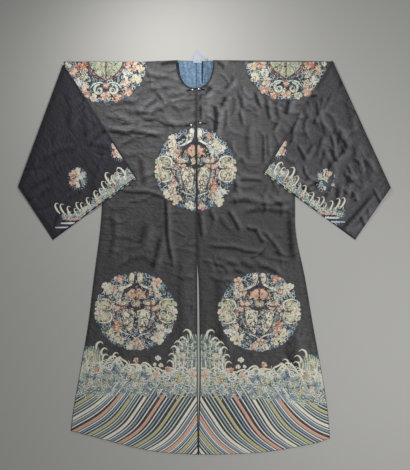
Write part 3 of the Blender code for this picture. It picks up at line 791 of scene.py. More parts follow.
def fold_over(mesh, under, over, outward, finishes, steps=8):
    """Join two layers round a fold, outer cloth outside and inner cloth inside."""
    points = mesh.all_points()
    cloth = np.concatenate(mesh.cloth)
    rows = []
    for low, inner_low, inner_high, high in zip(under[0], under[1], over[0], over[1]):
        row = []
        for first, last in ((low, high), (inner_low, inner_high)):
            middle = (points[first][2] + points[last][2]) / 2
            half = max(0.05, (points[last][2] - points[first][2]) / 2)
            angles = math.pi * (np.arange(1, steps) / steps - 0.5)
            heights = middle + half * np.sin(angles)
            places = points[first][:2] + np.outer(half * np.cos(angles), outward)
            cloth_points = np.repeat(cloth[last][None, :], steps - 1, axis=0)
            cloth_points = cloth_points + np.outer(half * (1 - angles), [0.7, 0.7])
            indices = mesh.add_points(places, heights, cloth_points)
            row.append([first] + [int(index) for index in indices] + [last])
        rows.append(row)
    outer_faces = []
    inner_faces = []
    for (outer, inner), (next_outer, next_inner) in zip(rows, rows[1:]):
        for step in range(steps):
            outer_faces.append((outer[step], next_outer[step], next_outer[step + 1], outer[step + 1]))
            inner_faces.append((inner[step], inner[step + 1], next_inner[step + 1], next_inner[step]))
    end_faces = []
    for outer, inner in (rows[0], rows[-1]):
        for step in range(steps):
            end_faces.append((outer[step], outer[step + 1], inner[step + 1], inner[step]))
    mesh.add_faces(outer_faces + end_faces, finishes[0])
    mesh.add_faces(inner_faces, finishes[1])


def finished_piece(mesh, name, materials, crisp):
    """A finished mesh as a piece on the coat's body; edges sharper than so many degrees stay crisp."""
    for material in materials:
        mesh.materials.append(material)
    mesh.shade_smooth()
    mesh.set_sharp_from_angle(angle=math.radians(crisp))
    piece = bpy.data.objects.new(name, mesh)
    bpy.context.scene.collection.objects.link(piece)
    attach(piece, BODY)
    return piece


def new_material(name):
    """A material with its Principled shader and node tree at hand."""
    material = bpy.data.materials.new(FINISH_START + name)
    material.use_nodes = True
    nodes = material.node_tree.nodes
    return material, material.node_tree, nodes["Principled BSDF"]


def group_with(name, inputs, outputs):
    """An empty shader node group with named inputs and outputs."""
    tree = bpy.data.node_groups.new(name, "ShaderNodeTree")
    for label, kind, value in inputs:
        socket = tree.interface.new_socket(name=label, in_out="INPUT", socket_type=kind)
        if value is not None:
            socket.default_value = value
    for label, kind in outputs:
        tree.interface.new_socket(name=label, in_out="OUTPUT", socket_type=kind)
    start = tree.nodes.new("NodeGroupInput")
    end = tree.nodes.new("NodeGroupOutput")
    return tree, start, end


def add_math(tree, operation, first, second):
    node = tree.nodes.new("ShaderNodeMath")
    node.operation = operation
    for socket, value in zip(node.inputs, (first, second)):
        if isinstance(value, (int, float)):
            socket.default_value = value
        elif value is not None:
            tree.links.new(value, socket)
    return node.outputs[0]


def map_range(tree, value, low, high, least, most, smooth=False):
    """A value between two limits carried over to two others."""
    node = tree.nodes.new("ShaderNodeMapRange")
    if smooth:
        node.interpolation_type = "SMOOTHSTEP"
    for label, number in (("From Min", low), ("From Max", high), ("To Min", least), ("To Max", most)):
        node.inputs[label].default_value = number
    tree.links.new(value, node.inputs["Value"])
    return node.outputs["Result"]


def stretched_noise(tree, vector, stretch, detail, roughness):
    """Noise drawn out along one thread direction; stretch is its count for each metre."""
    scale = tree.nodes.new("ShaderNodeVectorMath")
    scale.operation = "MULTIPLY"
    tree.links.new(vector, scale.inputs[0])
    scale.inputs[1].default_value = stretch
    noise = tree.nodes.new("ShaderNodeTexNoise")
    noise.inputs["Scale"].default_value = 1.0
    noise.inputs["Detail"].default_value = detail
    noise.inputs["Roughness"].default_value = roughness
    tree.links.new(scale.outputs[0], noise.inputs["Vector"])
    return noise.outputs["Fac"]


def silk_weave_group():
    """Fine weft ribs, slubs, warp streaks and sharp small wrinkles, as heights and a tone."""
    tree, start, end = group_with(
        "Silk weave",
        [("Cloth", "NodeSocketVector", None), ("Crumple", "NodeSocketFloat", 1.0)],
        [("Height", "NodeSocketFloat"), ("Wrinkle", "NodeSocketFloat"), ("Tone", "NodeSocketFloat")],
    )
    cloth = start.outputs["Cloth"]
    weft = stretched_noise(tree, cloth, (70.0, 900.0, 1.0), 2.0, 0.5)
    warp = stretched_noise(tree, cloth, (900.0, 45.0, 1.0), 2.0, 0.5)
    slub = stretched_noise(tree, cloth, (16.0, 330.0, 1.0), 3.0, 0.55)
    streak = stretched_noise(tree, cloth, (240.0, 9.0, 1.0), 3.0, 0.6)
    cloud = stretched_noise(tree, cloth, (7.0, 5.0, 1.0), 3.0, 0.5)
    ribs = add_math(tree, "MULTIPLY", weft, 0.45)
    threads = add_math(tree, "MULTIPLY", warp, 0.2)
    height = add_math(tree, "ADD", add_math(tree, "ADD", ribs, threads), slub)
    wrinkle = None
    for stretch in ((11.0, 26.0, 1.0), (34.0, 52.0, 1.0)):
        noise = stretched_noise(tree, cloth, stretch, 2.0, 0.5)
        away = add_math(tree, "ABSOLUTE", add_math(tree, "SUBTRACT", noise, 0.5), None)
        ridge = add_math(tree, "POWER", add_math(tree, "SUBTRACT", 1.0, away), 9.0)
        wrinkle = ridge if wrinkle is None else add_math(tree, "ADD", wrinkle, ridge)
    wrinkle = add_math(tree, "MULTIPLY", wrinkle, start.outputs["Crumple"])
    tone = add_math(tree, "MULTIPLY", slub, 0.4)
    for noise in (streak, cloud):
        tone = add_math(tree, "ADD", tone, add_math(tree, "MULTIPLY", noise, 0.3))
    tree.links.new(height, end.inputs["Height"])
    tree.links.new(wrinkle, end.inputs["Wrinkle"])
    tree.links.new(tone, end.inputs["Tone"])
    return tree


def satin_stitch_group():
    """Threads laid side by side across a shape, as a height and a tone."""
    tree, start, end = group_with(
        "Satin stitch",
        [("Stitch", "NodeSocketVector", None), ("Threads per metre", "NodeSocketFloat", 1500.0)],
        [("Height", "NodeSocketFloat"), ("Tone", "NodeSocketFloat")],
    )
    parts = tree.nodes.new("ShaderNodeSeparateXYZ")
    tree.links.new(start.outputs["Stitch"], parts.inputs[0])
    slant = add_math(tree, "MULTIPLY", parts.outputs["Y"], 0.35)
    along = add_math(tree, "ADD", parts.outputs["X"], slant)
    turns = add_math(tree, "MULTIPLY", along, start.outputs["Threads per metre"])
    wave = add_math(tree, "SINE", add_math(tree, "MULTIPLY", turns, math.tau), None)
    height = add_math(tree, "MULTIPLY", wave, 0.5)
    uneven = stretched_noise(tree, start.outputs["Stitch"], (420.0, 40.0, 1.0), 3.0, 0.65)
    tree.links.new(height, end.inputs["Height"])
    tree.links.new(uneven, end.inputs["Tone"])
    return tree


def use_group(tree, group, values):
    node = tree.nodes.new("ShaderNodeGroup")
    node.node_tree = group
    for name, value in values.items():
        if isinstance(value, (int, float)):
            node.inputs[name].default_value = value
        else:
            tree.links.new(value, node.inputs[name])
    return node


def tinted(tree, tone, dark, light):
    """Colour between two tints by a tone."""
    mix = tree.nodes.new("ShaderNodeValToRGB")
    mix.color_ramp.elements[0].position = 0.3
    mix.color_ramp.elements[0].color = (*dark, 1.0)
    mix.color_ramp.elements[1].position = 0.7
    mix.color_ramp.elements[1].color = (*light, 1.0)
    tree.links.new(tone, mix.inputs["Fac"])
    return mix.outputs["Color"]


# Silk finishes: colour, contrast of the weave, roughness, sheen, crumple, strength of the painted shade in
# folds and at rims, painted light towards the shoulders
SILKS = {
    "charcoal_silk": ("silk", 0.28, 0.58, 0.6, 1.0, 0.85, 0.5),
    # The sleeves are the body's silk, the left painted darker as shade and the right painted lighter as its
    # highlights
    "charcoal_silk_left_sleeve": ("left_sleeve", 0.16, 0.62, 0.3, 0.5, 0.7, 0.0),
    "charcoal_silk_right_sleeve": ("right_sleeve", 0.25, 0.6, 0.5, 1.5, 0.85, 0.0),
    "pale_blue_lining": ("lining", 0.16, 0.5, 0.2, 1.6, 0.6, 0.0),
    "dark_binding": ("binding", 0.25, 0.55, 0.15, 0.6, 0.0, 0.0),
    "silk_edging": ("edging", 0.2, 0.5, 0.2, 0.6, 0.0, 0.0),
    # The dark strip is painted shadow along the lining's pleat
    "dark_blue_strip": ("strip", 0.2, 0.5, 0.2, 0.6, 0.0, 0.0),
    "pale_tape": ("tape", 0.06, 0.6, 0.1, 0.5, 0.0, 0.0),
}


def scaled(tree, colour, factor):
    """A colour made lighter or darker by a value."""
    node = tree.nodes.new("ShaderNodeVectorMath")
    node.operation = "SCALE"
    tree.links.new(colour, node.inputs[0])
    tree.links.new(factor, node.inputs["Scale"])
    return node.outputs[0]


def bumped(tree, height, strength, distance, below=None):
    """A normal raised by a height, on top of another normal where one is given."""
    bump = tree.nodes.new("ShaderNodeBump")
    bump.inputs["Strength"].default_value = strength
    bump.inputs["Distance"].default_value = distance
    tree.links.new(height, bump.inputs["Height"])
    if below is not None:
        tree.links.new(below, bump.inputs["Normal"])
    return bump.outputs["Normal"]


def silk_material(name, words, contrast, roughness, sheen, crumple, painted_shade_strength, painted_top_light):
    """Closely woven silk with a soft sheen, in one of the colours that a user may change, with painted shade
    in its folds and painted light towards the shoulders.
    """
    material, tree, surface = new_material(name)
    cloth = tree.nodes.new("ShaderNodeUVMap")
    cloth.uv_map = "Cloth"
    weave = use_group(
        tree, bpy.data.node_groups["Silk weave"], {"Cloth": cloth.outputs["UV"], "Crumple": crumple}
    )
    base = np.array(getattr(bpy.context.scene.surcoat_colours, words))
    colour = tinted(tree, weave.outputs["Tone"], base * (1 - contrast), base * (1 + contrast))
    # Painted shade in crease troughs and along the rims, painted highlight on the ridges
    if painted_shade_strength:
        fold = tree.nodes.new("ShaderNodeAttribute")
        fold.attribute_name = "Fold"
        depth = add_math(tree, "MULTIPLY", fold.outputs["Fac"], painted_shade_strength)
        colour = scaled(tree, colour, add_math(tree, "ADD", depth, 1.0))
    # Painted light: the silk is made lighter towards the shoulders
    if painted_top_light:
        place = tree.nodes.new("ShaderNodeTexCoord")
        split = tree.nodes.new("ShaderNodeSeparateXYZ")
        tree.links.new(place.outputs["Object"], split.inputs[0])
        lit_towards_top = map_range(tree, split.outputs["Y"], PAINTED_LIGHT_FROM, PAINTED_LIGHT_TO, 1.0, 1.0 + painted_top_light, True)
        colour = scaled(tree, colour, lit_towards_top)
    tree.links.new(colour, surface.inputs["Base Color"])
    rough = add_math(tree, "MULTIPLY", weave.outputs["Tone"], 0.16)
    tree.links.new(add_math(tree, "ADD", rough, roughness - 0.08), surface.inputs["Roughness"])
    surface.inputs["Sheen Weight"].default_value = sheen
    surface.inputs["Sheen Roughness"].default_value = 0.4
    surface.inputs["Sheen Tint"].default_value = (0.9, 0.92, 1.0, 1.0)
    surface.inputs["Specular IOR Level"].default_value = 0.28
    wrinkled = bumped(tree, weave.outputs["Wrinkle"], 1.0, 0.0024)
    woven = bumped(tree, weave.outputs["Height"], 0.9, 0.0003, wrinkled)
    tree.links.new(woven, surface.inputs["Normal"])


def thread_material():
    """Floss silk whose colour is kept on the points of the stitching."""
    material, tree, surface = new_material("floss_silk")
    colour = tree.nodes.new("ShaderNodeVertexColor")
    colour.layer_name = "Floss"
    stitch = tree.nodes.new("ShaderNodeUVMap")
    stitch.uv_map = "Stitch"
    satin = use_group(tree, bpy.data.node_groups["Satin stitch"], {"Stitch": stitch.outputs["UV"]})
    uneven = map_range(tree, satin.outputs["Tone"], 0.3, 0.7, 0.78, 1.12)
    tree.links.new(scaled(tree, colour.outputs["Color"], uneven), surface.inputs["Base Color"])
    surface.inputs["Roughness"].default_value = 0.42
    surface.inputs["Specular IOR Level"].default_value = 0.4
    surface.inputs["Sheen Weight"].default_value = 0.15
    tree.links.new(bumped(tree, satin.outputs["Height"], 0.7, 0.00018), surface.inputs["Normal"])


def metal_material():
    """Silvered metal, a little tarnished."""
    material, tree, surface = new_material("silvered_metal")
    place = tree.nodes.new("ShaderNodeTexCoord")
    tarnish = stretched_noise(tree, place.outputs["Object"], (220.0, 220.0, 220.0), 4.0, 0.6)
    bright = tinted(tree, tarnish, (0.62, 0.62, 0.6), (0.93, 0.93, 0.92))
    tree.links.new(bright, surface.inputs["Base Color"])
    surface.inputs["Metallic"].default_value = 1.0
    tree.links.new(add_math(tree, "MULTIPLY", tarnish, 0.5), surface.inputs["Roughness"])


def sewing_thread_material():
    """Twisted sewing silk, a little lighter than the cloth."""
    material, tree, surface = new_material("sewing_thread")
    place = tree.nodes.new("ShaderNodeTexCoord")
    twist = stretched_noise(tree, place.outputs["Object"], (2600.0, 2600.0, 2600.0), 2.0, 0.5)
    silk = np.array(bpy.context.scene.surcoat_colours.silk)
    tree.links.new(tinted(tree, twist, 0.8 * silk, 1.7 * silk), surface.inputs["Base Color"])
    surface.inputs["Roughness"].default_value = 0.5
    tree.links.new(bumped(tree, twist, 0.6, 0.0001), surface.inputs["Normal"])


def finish(name):
    return bpy.data.materials[FINISH_START + name]


def millimetres(name):
    """A size that the user may change, in the millimetres of the drawings."""
    return getattr(bpy.context.scene.surcoat_sizes, name) / MM


def make_materials():
    """Every finish of the coat."""
    silk_weave_group()
    satin_stitch_group()
    for name, facts in SILKS.items():
        silk_material(name, *facts)
    thread_material()
    metal_material()
    sewing_thread_material()


def as_drawn(points):
    return points


def lay_flap(half, mesh, runs, finishes, folded):
    """The two layers of a folded sleeve: the hidden one below and the one that shows."""

    def cloth(points):
        away = points - half.tip
        return np.column_stack([away @ half.along, away @ half.top_out])

    def above_low(points):
        return half.flap_low(points) + SKIN

    low = Layer(mesh, runs, above_low, half.flap_low, cloth, finishes[::-1], (30.0, 30.0), folded)
    high = Layer(mesh, runs, half.flap_top, half.flap_under, cloth, finishes, (PANEL_GRID, 16.0), folded)
    fold_over(mesh, low.edge("top_fold"), high.edge("top_fold"), half.top_out, finishes)
    return low, high


def make_panel(half):
    """A body panel: back, front and the folded-over part of its sleeve."""
    mesh = ClothMesh()
    folded = ("shoulder", "sleeve_fold")
    runs = half.panel_runs(False, RIM_STEP)
    under = level_at(BACK_LOW)
    back = Layer(mesh, runs, level_at(BACK_LOW + SKIN), under, as_drawn, (1, 0), (60.0, 24.0), folded)
    runs = half.panel_runs(True, RIM_STEP)
    under = level_at(RIM_TOP - SKIN)
    front = Layer(mesh, runs, half.front_top, under, as_drawn, (0, 1), (PANEL_GRID, 16.0), folded)
    inner, outer = lay_flap(half, mesh, half.flap_runs(RIM_STEP), (2, 1), ("sleeve_fold", "top_fold"))
    fold_over(mesh, back.edge("shoulder"), front.edge("shoulder"), (0.0, 1.0), (0, 1))
    fold_over(mesh, back.edge("sleeve_fold"), outer.edge("sleeve_fold", True), half.fold_out, (2, 1))
    fold_over(mesh, front.edge("sleeve_fold"), inner.edge("sleeve_fold", True), half.fold_out, (2, 1))
    materials = ("charcoal_silk", "pale_blue_lining", "charcoal_silk_%s_sleeve" % half.name)
    panel = mesh.to_object("panel_" + half.name, materials, "charcoal_silk", half.painted_shade_share)
    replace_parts(panel, "body_" + half.name)


def make_sleeve(half):
    """The sleeve's own width, a flattened tube from the seam to the cuff."""
    mesh = ClothMesh()
    lay_flap(half, mesh, half.sleeve_runs(RIM_STEP), (0, 1), ("top_fold",))
    materials = ("charcoal_silk_%s_sleeve" % half.name, "pale_blue_lining")
    sleeve = mesh.to_object("sleeve_end_" + half.name, materials, "charcoal_silk", half.painted_shade_share)
    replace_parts(sleeve, "sleeve_" + half.name)


# Embroidery

# How many curls and lines are tried or laid, and how many leaves each flower has
GROUND_CURLS = 5200
RIM_CURLS = 40
TOP_CURLS = 430
LEAVES = 3
WAVE_LINES = 520
WAVE_CURLS = 120
ROCK_CURLS = 250
CUFF_LINES = 170
CUFF_CURLS = 46

SEEDS = {"chest": 31, "lower_left": 41, "lower_right": 43, "shoulder_left": 51, "shoulder_right": 53}
OPENING_MARGIN = 3.2
THREAD_LIFT = 0.34
THREAD_DOME = 0.3
THREAD_SINK = 0.35

# Radii of a pad's rings as shares of its own
PAD_RINGS = (1.0, 0.9, 0.62, 0.34)


def thread_names(words):
    """Names of threads, written with spaces between them or given one by one."""
    return words.split() if isinstance(words, str) else words


def shade(words, shares):
    """Colours at shares between 0 and 1 along a row of threads."""
    table = np.array([THREAD[name] for name in thread_names(words)])
    places = np.linspace(0, 1, len(table)) if len(table) > 1 else np.array([0.0])
    return np.column_stack([np.interp(shares, places, table[:, channel]) for channel in range(3)])


def pick(rng, choices):
    return choices[int(rng.integers(len(choices)))]


def either_way(rng, least, most):
    """A number of turns between two limits, to the left or to the right."""
    return rng.choice([-1, 1]) * rng.uniform(least, most)


def mirrored(side, *numbers):
    """Points from their distances across and up, one after another, on one side of the middle."""
    return [(across * side, up) for across, up in zip(numbers[::2], numbers[1::2])]


def polar(reach, angle):
    """The point at a distance and an angle from the middle of a drawing."""
    return reach * math.cos(angle), reach * math.sin(angle)


def spiral(centre, radius, start, turns, close=0.28, count=9):
    """Knots of a curl that winds in towards its centre."""
    shares = np.linspace(0, 1, count)
    angles = math.radians(start) + turns * math.tau * shares
    reach = radius * (1 - (1 - close) * shares)
    return np.column_stack([centre[0] + reach * np.cos(angles), centre[1] + reach * np.sin(angles)])


class Stitching:
    """Silk shapes sewn on one piece, each a thin closed pad that lies on the cloth."""

    def __init__(self, place, fences=()):
        self.place = place
        ends = place(np.array([[0.0, 500.0], [1.0, 500.0]]))
        self.unit = float(np.linalg.norm(ends[1] - ends[0]))
        self.fences = fences
        self.spots = []
        self.lifts = []
        self.colours = []
        self.threads = []
        self.faces = []
        self.count = 0

    def add(self, spots, lifts, colours, threads, faces):
        beyond = np.zeros(len(spots), bool)
        for fence in self.fences:
            spots, out = fence(spots)
            beyond |= out
        if beyond.all():
            return
        self.spots.append(spots)
        self.lifts.append(lifts)
        self.colours.append(colours)
        self.threads.append(threads)
        self.faces.extend([tuple(int(corner) + self.count for corner in face) for face in faces])
        self.count += len(spots)

    def stroke(self, knots, widths, colours, level=1, step=3.2):
        """A band of stitches along a path: half widths in millimetres, colours edge to middle."""
        knots = self.place(as_points(knots))
        path = whole_curve(knots, step)
        steps = np.linalg.norm(np.diff(path, axis=0), axis=1)
        path = path[np.concatenate([[True], steps > 1e-6])]
        reach = np.concatenate([[0], np.cumsum(np.linalg.norm(np.diff(path, axis=0), axis=1))])
        share = reach / reach[-1]
        half = np.interp(share, np.linspace(0, 1, len(widths)), widths)
        half = np.maximum(half, 0.25)
        along = np.gradient(path, axis=0)
        along /= np.linalg.norm(along, axis=1)[:, None]
        normal = np.column_stack([-along[:, 1], along[:, 0]])
        widest = max(widths)
        columns = 5 if widest < 3.5 else 7 if widest < 8 else 9
        across = np.linspace(-1, 1, columns)
        spots = path[:, None, :] + normal[:, None, :] * (half[:, None, None] * across[None, :, None])
        spots = spots.reshape(-1, 2)
        rise = THREAD_LIFT * level + THREAD_DOME * (1 - across**2)
        rise[0] = -THREAD_SINK
        rise[-1] = -THREAD_SINK
        lifts = np.tile(rise, len(path))
        inward = 1 - np.abs(np.tile(across, len(path)))
        tint = shade(colours, inward)
        threads = np.column_stack([np.repeat(reach, columns), np.outer(half, across).ravel()])
        faces = []
        for row in range(len(path) - 1):
            first = row * columns
            second = first + columns
            for column in range(columns - 1):
                faces.append((first + column, second + column, second + column + 1, first + column + 1))
            faces.append((first + columns - 1, second + columns - 1, second, first))
        last = (len(path) - 1) * columns
        faces.append(tuple(range(columns)))
        faces.append(tuple(range(last + columns - 1, last - 1, -1)))
        self.add(spots, lifts, tint, threads, faces)

    def rosette(self, centre, radius, colours, lobes=0, depth=0.0, turn=0.0, level=1, rings=PAD_RINGS):
        """A round or scalloped pad: colours from rim to heart."""
        count = max(18, lobes * 6)
        angles = np.arange(count) * math.tau / count
        outline = np.ones(count)
        if lobes:
            outline = 1 - depth + depth * np.abs(np.cos(lobes * angles / 2)) ** 0.7
        turned = angles + math.radians(turn)
        rises = [-THREAD_SINK] + [1 - 0.8 * ring**2 for ring in rings[1:]]
        spots = []
        lifts = []
        shares = []
        for ring, rise in zip(rings, rises):
            reach = radius * ring * (1 - (1 - outline) * min(1.0, ring + 0.1))
            across = centre[0] + reach * np.cos(turned)
            up = centre[1] + reach * np.sin(turned)
            spots.append(np.column_stack([across, up]))
            height = rise if rise < 0 else THREAD_LIFT * level + THREAD_DOME * rise
            lifts.append(np.full(count, height))
            shares.append(np.full(count, 1 - ring))
        middle = np.array([centre, centre], float)
        spots = self.place(np.concatenate(spots + [middle]))
        lifts = np.concatenate(lifts + [[THREAD_LIFT * level + THREAD_DOME, -THREAD_SINK]])
        shares = np.concatenate(shares + [[1.0, 1.0]])
        size = np.linalg.norm(spots[0] - spots[-1])
        turns = np.concatenate([np.tile(angles, len(rings)), [0, 0]]) * size * 0.7
        threads = np.column_stack([turns, shares * size])
        faces = []
        top = len(rings) * count
        for ring in range(len(rings) - 1):
            for corner in range(count):
                after = (corner + 1) % count
                first = ring * count
                faces.append((first + corner, first + after, first + count + after, first + count + corner))
        for corner in range(count):
            after = (corner + 1) % count
            inner = (len(rings) - 1) * count
            faces.append((inner + corner, inner + after, top))
            faces.append((after, corner, top + 1))
        self.add(spots, lifts, shade(colours, shares), threads, faces)

    def ground(self, outline, colour, level=0.3, grid=5.0):
        """A thin flat of stitches under the other shapes."""
        rim = self.place(as_points(outline))
        points, triangles, places = fill_sheet(rim, grid)
        count = len(points)
        upper = np.full(count, THREAD_LIFT * level)
        upper[places] = 0.02
        spots = np.concatenate([points, points])
        lifts = np.concatenate([upper, np.full(count, -THREAD_SINK)])
        faces = [tuple(triangle) for triangle in triangles]
        faces += [tuple(corner + count for corner in triangle[::-1]) for triangle in triangles]
        for first, second in zip(places, places[1:] + places[:1]):
            faces.append((first, second, second + count, first + count))
        colours = np.tile(THREAD[colour], (2 * count, 1))
        self.add(spots, lifts, colours, spots.copy(), faces)

    def to_object(self, name, ground, colour="floss_silk", slot="embroidery", layer="Stitch"):
        spots = np.concatenate(self.spots)
        heights = ground(spots) + np.concatenate(self.lifts)
        mesh = bpy.data.meshes.new(name)
        mesh.from_pydata(to_frame(np.column_stack([spots, heights])).tolist(), [], self.faces)
        floss = mesh.color_attributes.new("Floss", "FLOAT_COLOR", "POINT")
        colours = np.concatenate(self.colours)
        floss.data.foreach_set("color", np.column_stack([colours, np.ones(len(colours))]).ravel())
        lay_coordinates(mesh, layer, np.concatenate(self.threads))
        tidy_normals(mesh)
        return finished_piece(mesh, name, [finish(colour)], 70)


def line_fence(point, outward):
    """Keep stitches on the inner side of a straight line."""
    point = np.asarray(point, float)
    outward = np.asarray(outward, float) / np.linalg.norm(outward)

    def hold(spots):
        past = (spots - point) @ outward
        held = spots - np.maximum(past, 0)[:, None] * outward
        return held, past > 0

    return hold


def opening_fence(half, margin):
    """Keep stitches clear of the binding down the opening."""

    def hold(spots):
        edge = half.opening_x(spots[:, 1]) + half.side * margin
        out = (spots[:, 0] - edge) * half.side < 0
        held = spots.copy()
        held[out, 0] = edge[out]
        return held, out

    return hold


def hem_fence(half, margin):
    """Keep stitches inside the hem and the side edge."""

    def hold(spots):
        held = spots.copy()
        edge = half.side_x(spots[:, 1]) - half.side * margin
        past_side = (held[:, 0] - edge) * half.side > 0
        held[past_side, 0] = edge[past_side]
        start = half.hem_line[0, 0]
        share = (held[:, 0] - start) / (half.hem_line[-1, 0] - start)
        low = half.hem_y(share) + margin
        past_hem = held[:, 1] < low
        held[past_hem, 1] = low[past_hem]
        return held, past_side | past_hem

    return hold


def disc_place(centre, width, height, mirror):
    """Drawing units of a roundel to the coat: its radius is 1."""
    return lambda points: np.asarray(centre) + points * (mirror * width, height)


# Flowers of each roundel: across, up, radius, lobes, threads from rim to heart
FLOWERS = {
    "shoulder": (
        (-0.6, -0.1, 0.15, 7, "salmon coral red"), (-0.8, -0.16, 0.11, 6, "cream salmon olive"),
        (-0.5, -0.3, 0.11, 6, "white mint teal"), (-0.72, -0.4, 0.13, 6, "cream olive cream"),
        (-0.46, -0.5, 0.12, 6, "cream rose salmon"), (-0.5, -0.7, 0.13, 6, "rose coral cream"),
        (-0.28, -0.83, 0.1, 5, "coral red cream"), (0.56, -0.12, 0.14, 7, "coral red coral"),
        (0.74, -0.24, 0.13, 6, "salmon rose cream"), (0.88, -0.08, 0.08, 5, "cream moss white"),
        (0.5, -0.34, 0.1, 6, "cream olive brown"), (0.66, -0.48, 0.12, 6, "white mist mint"),
        (0.48, -0.56, 0.1, 5, "cream salmon cream"), (0.5, -0.74, 0.13, 7, "salmon red rose"),
        (0.28, -0.84, 0.1, 5, "cream moss coral"),
    ),
    "lower": (
        (-0.62, 0.55, 0.15, 7, "cream salmon cream"), (-0.74, 0.62, 0.09, 5, "white cream olive"),
        (-0.5, 0.48, 0.09, 5, "salmon red cream"), (-0.4, 0.79, 0.12, 5, "rose brown rose"),
        (-0.34, 0.56, 0.08, 5, "cream moss white"), (-0.4, 0.36, 0.11, 6, "mint leaf teal"),
        (0.5, 0.72, 0.13, 6, "salmon cream coral"), (0.49, 0.6, 0.12, 5, "cream salmon brown"),
        (0.36, 0.44, 0.09, 6, "rose brown cream"), (0.52, 0.42, 0.1, 5, "cream rose salmon"),
        (-0.44, -0.3, 0.13, 6, "coral red coral"), (-0.42, -0.44, 0.14, 7, "salmon red coral"),
        (-0.6, -0.5, 0.12, 6, "cream olive cream"), (-0.52, -0.64, 0.11, 6, "cream olive moss"),
        (-0.37, -0.72, 0.11, 6, "cream salmon olive"), (0.58, -0.38, 0.11, 6, "cream rose moss"),
        (0.66, -0.49, 0.1, 5, "white cream rose"), (0.53, -0.65, 0.17, 7, "cream moss salmon"),
        (0.79, -0.48, 0.07, 5, "white cream mist"), (0.0, -0.74, 0.12, 6, "salmon cream olive"),
        (0.13, -0.84, 0.11, 5, "rose salmon cream"), (-0.13, -0.84, 0.11, 5, "cream rose cream"),
    ),
    "chest": (
        (-0.56, 0.68, 0.13, 6, "cream salmon cream"), (-0.55, 0.55, 0.13, 6, "cream olive cream"),
        (-0.46, 0.36, 0.12, 5, "salmon coral brown"), (-0.62, 0.38, 0.1, 5, "white cream rose"),
        (0.34, 0.75, 0.1, 5, "rose brown rose"), (0.52, 0.6, 0.12, 6, "cream moss cream"),
        (0.62, 0.46, 0.12, 5, "white leaf cream"), (0.44, 0.4, 0.13, 6, "mint leaf white"),
        (0.34, 0.56, 0.09, 5, "white mint teal"), (0.42, -0.32, 0.13, 6, "coral red coral"),
        (0.46, -0.44, 0.13, 7, "coral red salmon"), (0.62, -0.52, 0.14, 7, "white moss cream"),
        (0.47, -0.62, 0.12, 6, "cream rose salmon"), (0.58, -0.74, 0.12, 6, "cream moss cream"),
        (-0.58, -0.42, 0.12, 6, "cream salmon moss"), (-0.48, -0.66, 0.16, 7, "salmon cream mint"),
        (-0.68, -0.56, 0.11, 5, "cream mint salmon"), (-0.53, -0.28, 0.1, 5, "rose brown rose"),
        (0.14, -0.84, 0.11, 5, "rose coral cream"), (-0.14, -0.82, 0.12, 5, "white rose cream"),
    ),
}


def peony(stitching, centre, radius, lobes, threads, turn, level=1):
    """A full flower of overlapping rounded petals, shaded from the rim, round a darker inner ring."""
    edge, body, heart = thread_names(threads)
    centre = np.asarray(centre, float)
    size = radius * stitching.unit
    inner = "brown" if body in ("salmon", "rose", "red", "brown", "coral") else "teal"
    rings = ((lobes, 0.94, ("ink", edge, body)), (max(4, lobes - 1), 0.58, (inner, edge, heart)))
    for ring, (count, reach, colours) in enumerate(rings):
        for petal in range(count):
            sway = math.sin(2.4 * petal + 9.0 * centre[0] + 5.0 * centre[1])
            angle = math.radians(turn + 360 * (petal + 0.5 * ring) / count + 12 * sway)
            way = np.array(polar(1, angle)) * radius * reach * (1 + 0.1 * sway)
            knots = [centre + 0.15 * way, centre + 0.55 * way, centre + 0.85 * way, centre + way]
            widths = np.array([0.3, 0.56, 0.6, 0.4]) * size * reach * 5.0 / count
            tint = colours if petal % 3 else (colours[0], colours[1], "cream")
            lift = level + ring + 0.25 * (petal % 2)
            stitching.stroke(knots, widths, tint, lift, step=max(1.4, 0.16 * size))
    stitching.rosette(centre, radius * 0.17, (inner, heart), level=level + 2.4, rings=(1.0, 0.6))


def curl(stitching, centre, radius, start, turns, colours, half_width, level=1):
    """A cloud curl that thins towards its middle."""
    knots = spiral(centre, radius, start, turns)
    widths = (half_width * 0.5, half_width, half_width, half_width * 0.8, half_width * 0.55)
    stitching.stroke(knots, widths, colours, level, step=2.6)


def mottled(stitching, rng, outline, colour, marks, count, size, level):
    """A solid shape of laid silk with small curls scattered over it and a thin dark outline."""
    outline = as_points(outline)
    closed = closed_loop(outline)
    rim = curve_through(closed, 0.03)
    stitching.ground(rim, colour, level)
    spots = rng.uniform(outline.min(axis=0), outline.max(axis=0), (4 * count, 2))
    for index, spot in enumerate(spots[inside_loop(spots, rim)][:count]):
        turns = either_way(rng, 0.4, 0.9)
        reach = size * rng.uniform(0.7, 1.3)
        curl(stitching, spot, reach, rng.uniform(0, 360), turns, marks[index % len(marks)], 1.9, level + 1.2)
    stitching.stroke(closed, (1.5, 1.9, 1.5), "ink brown", level + 1.6)


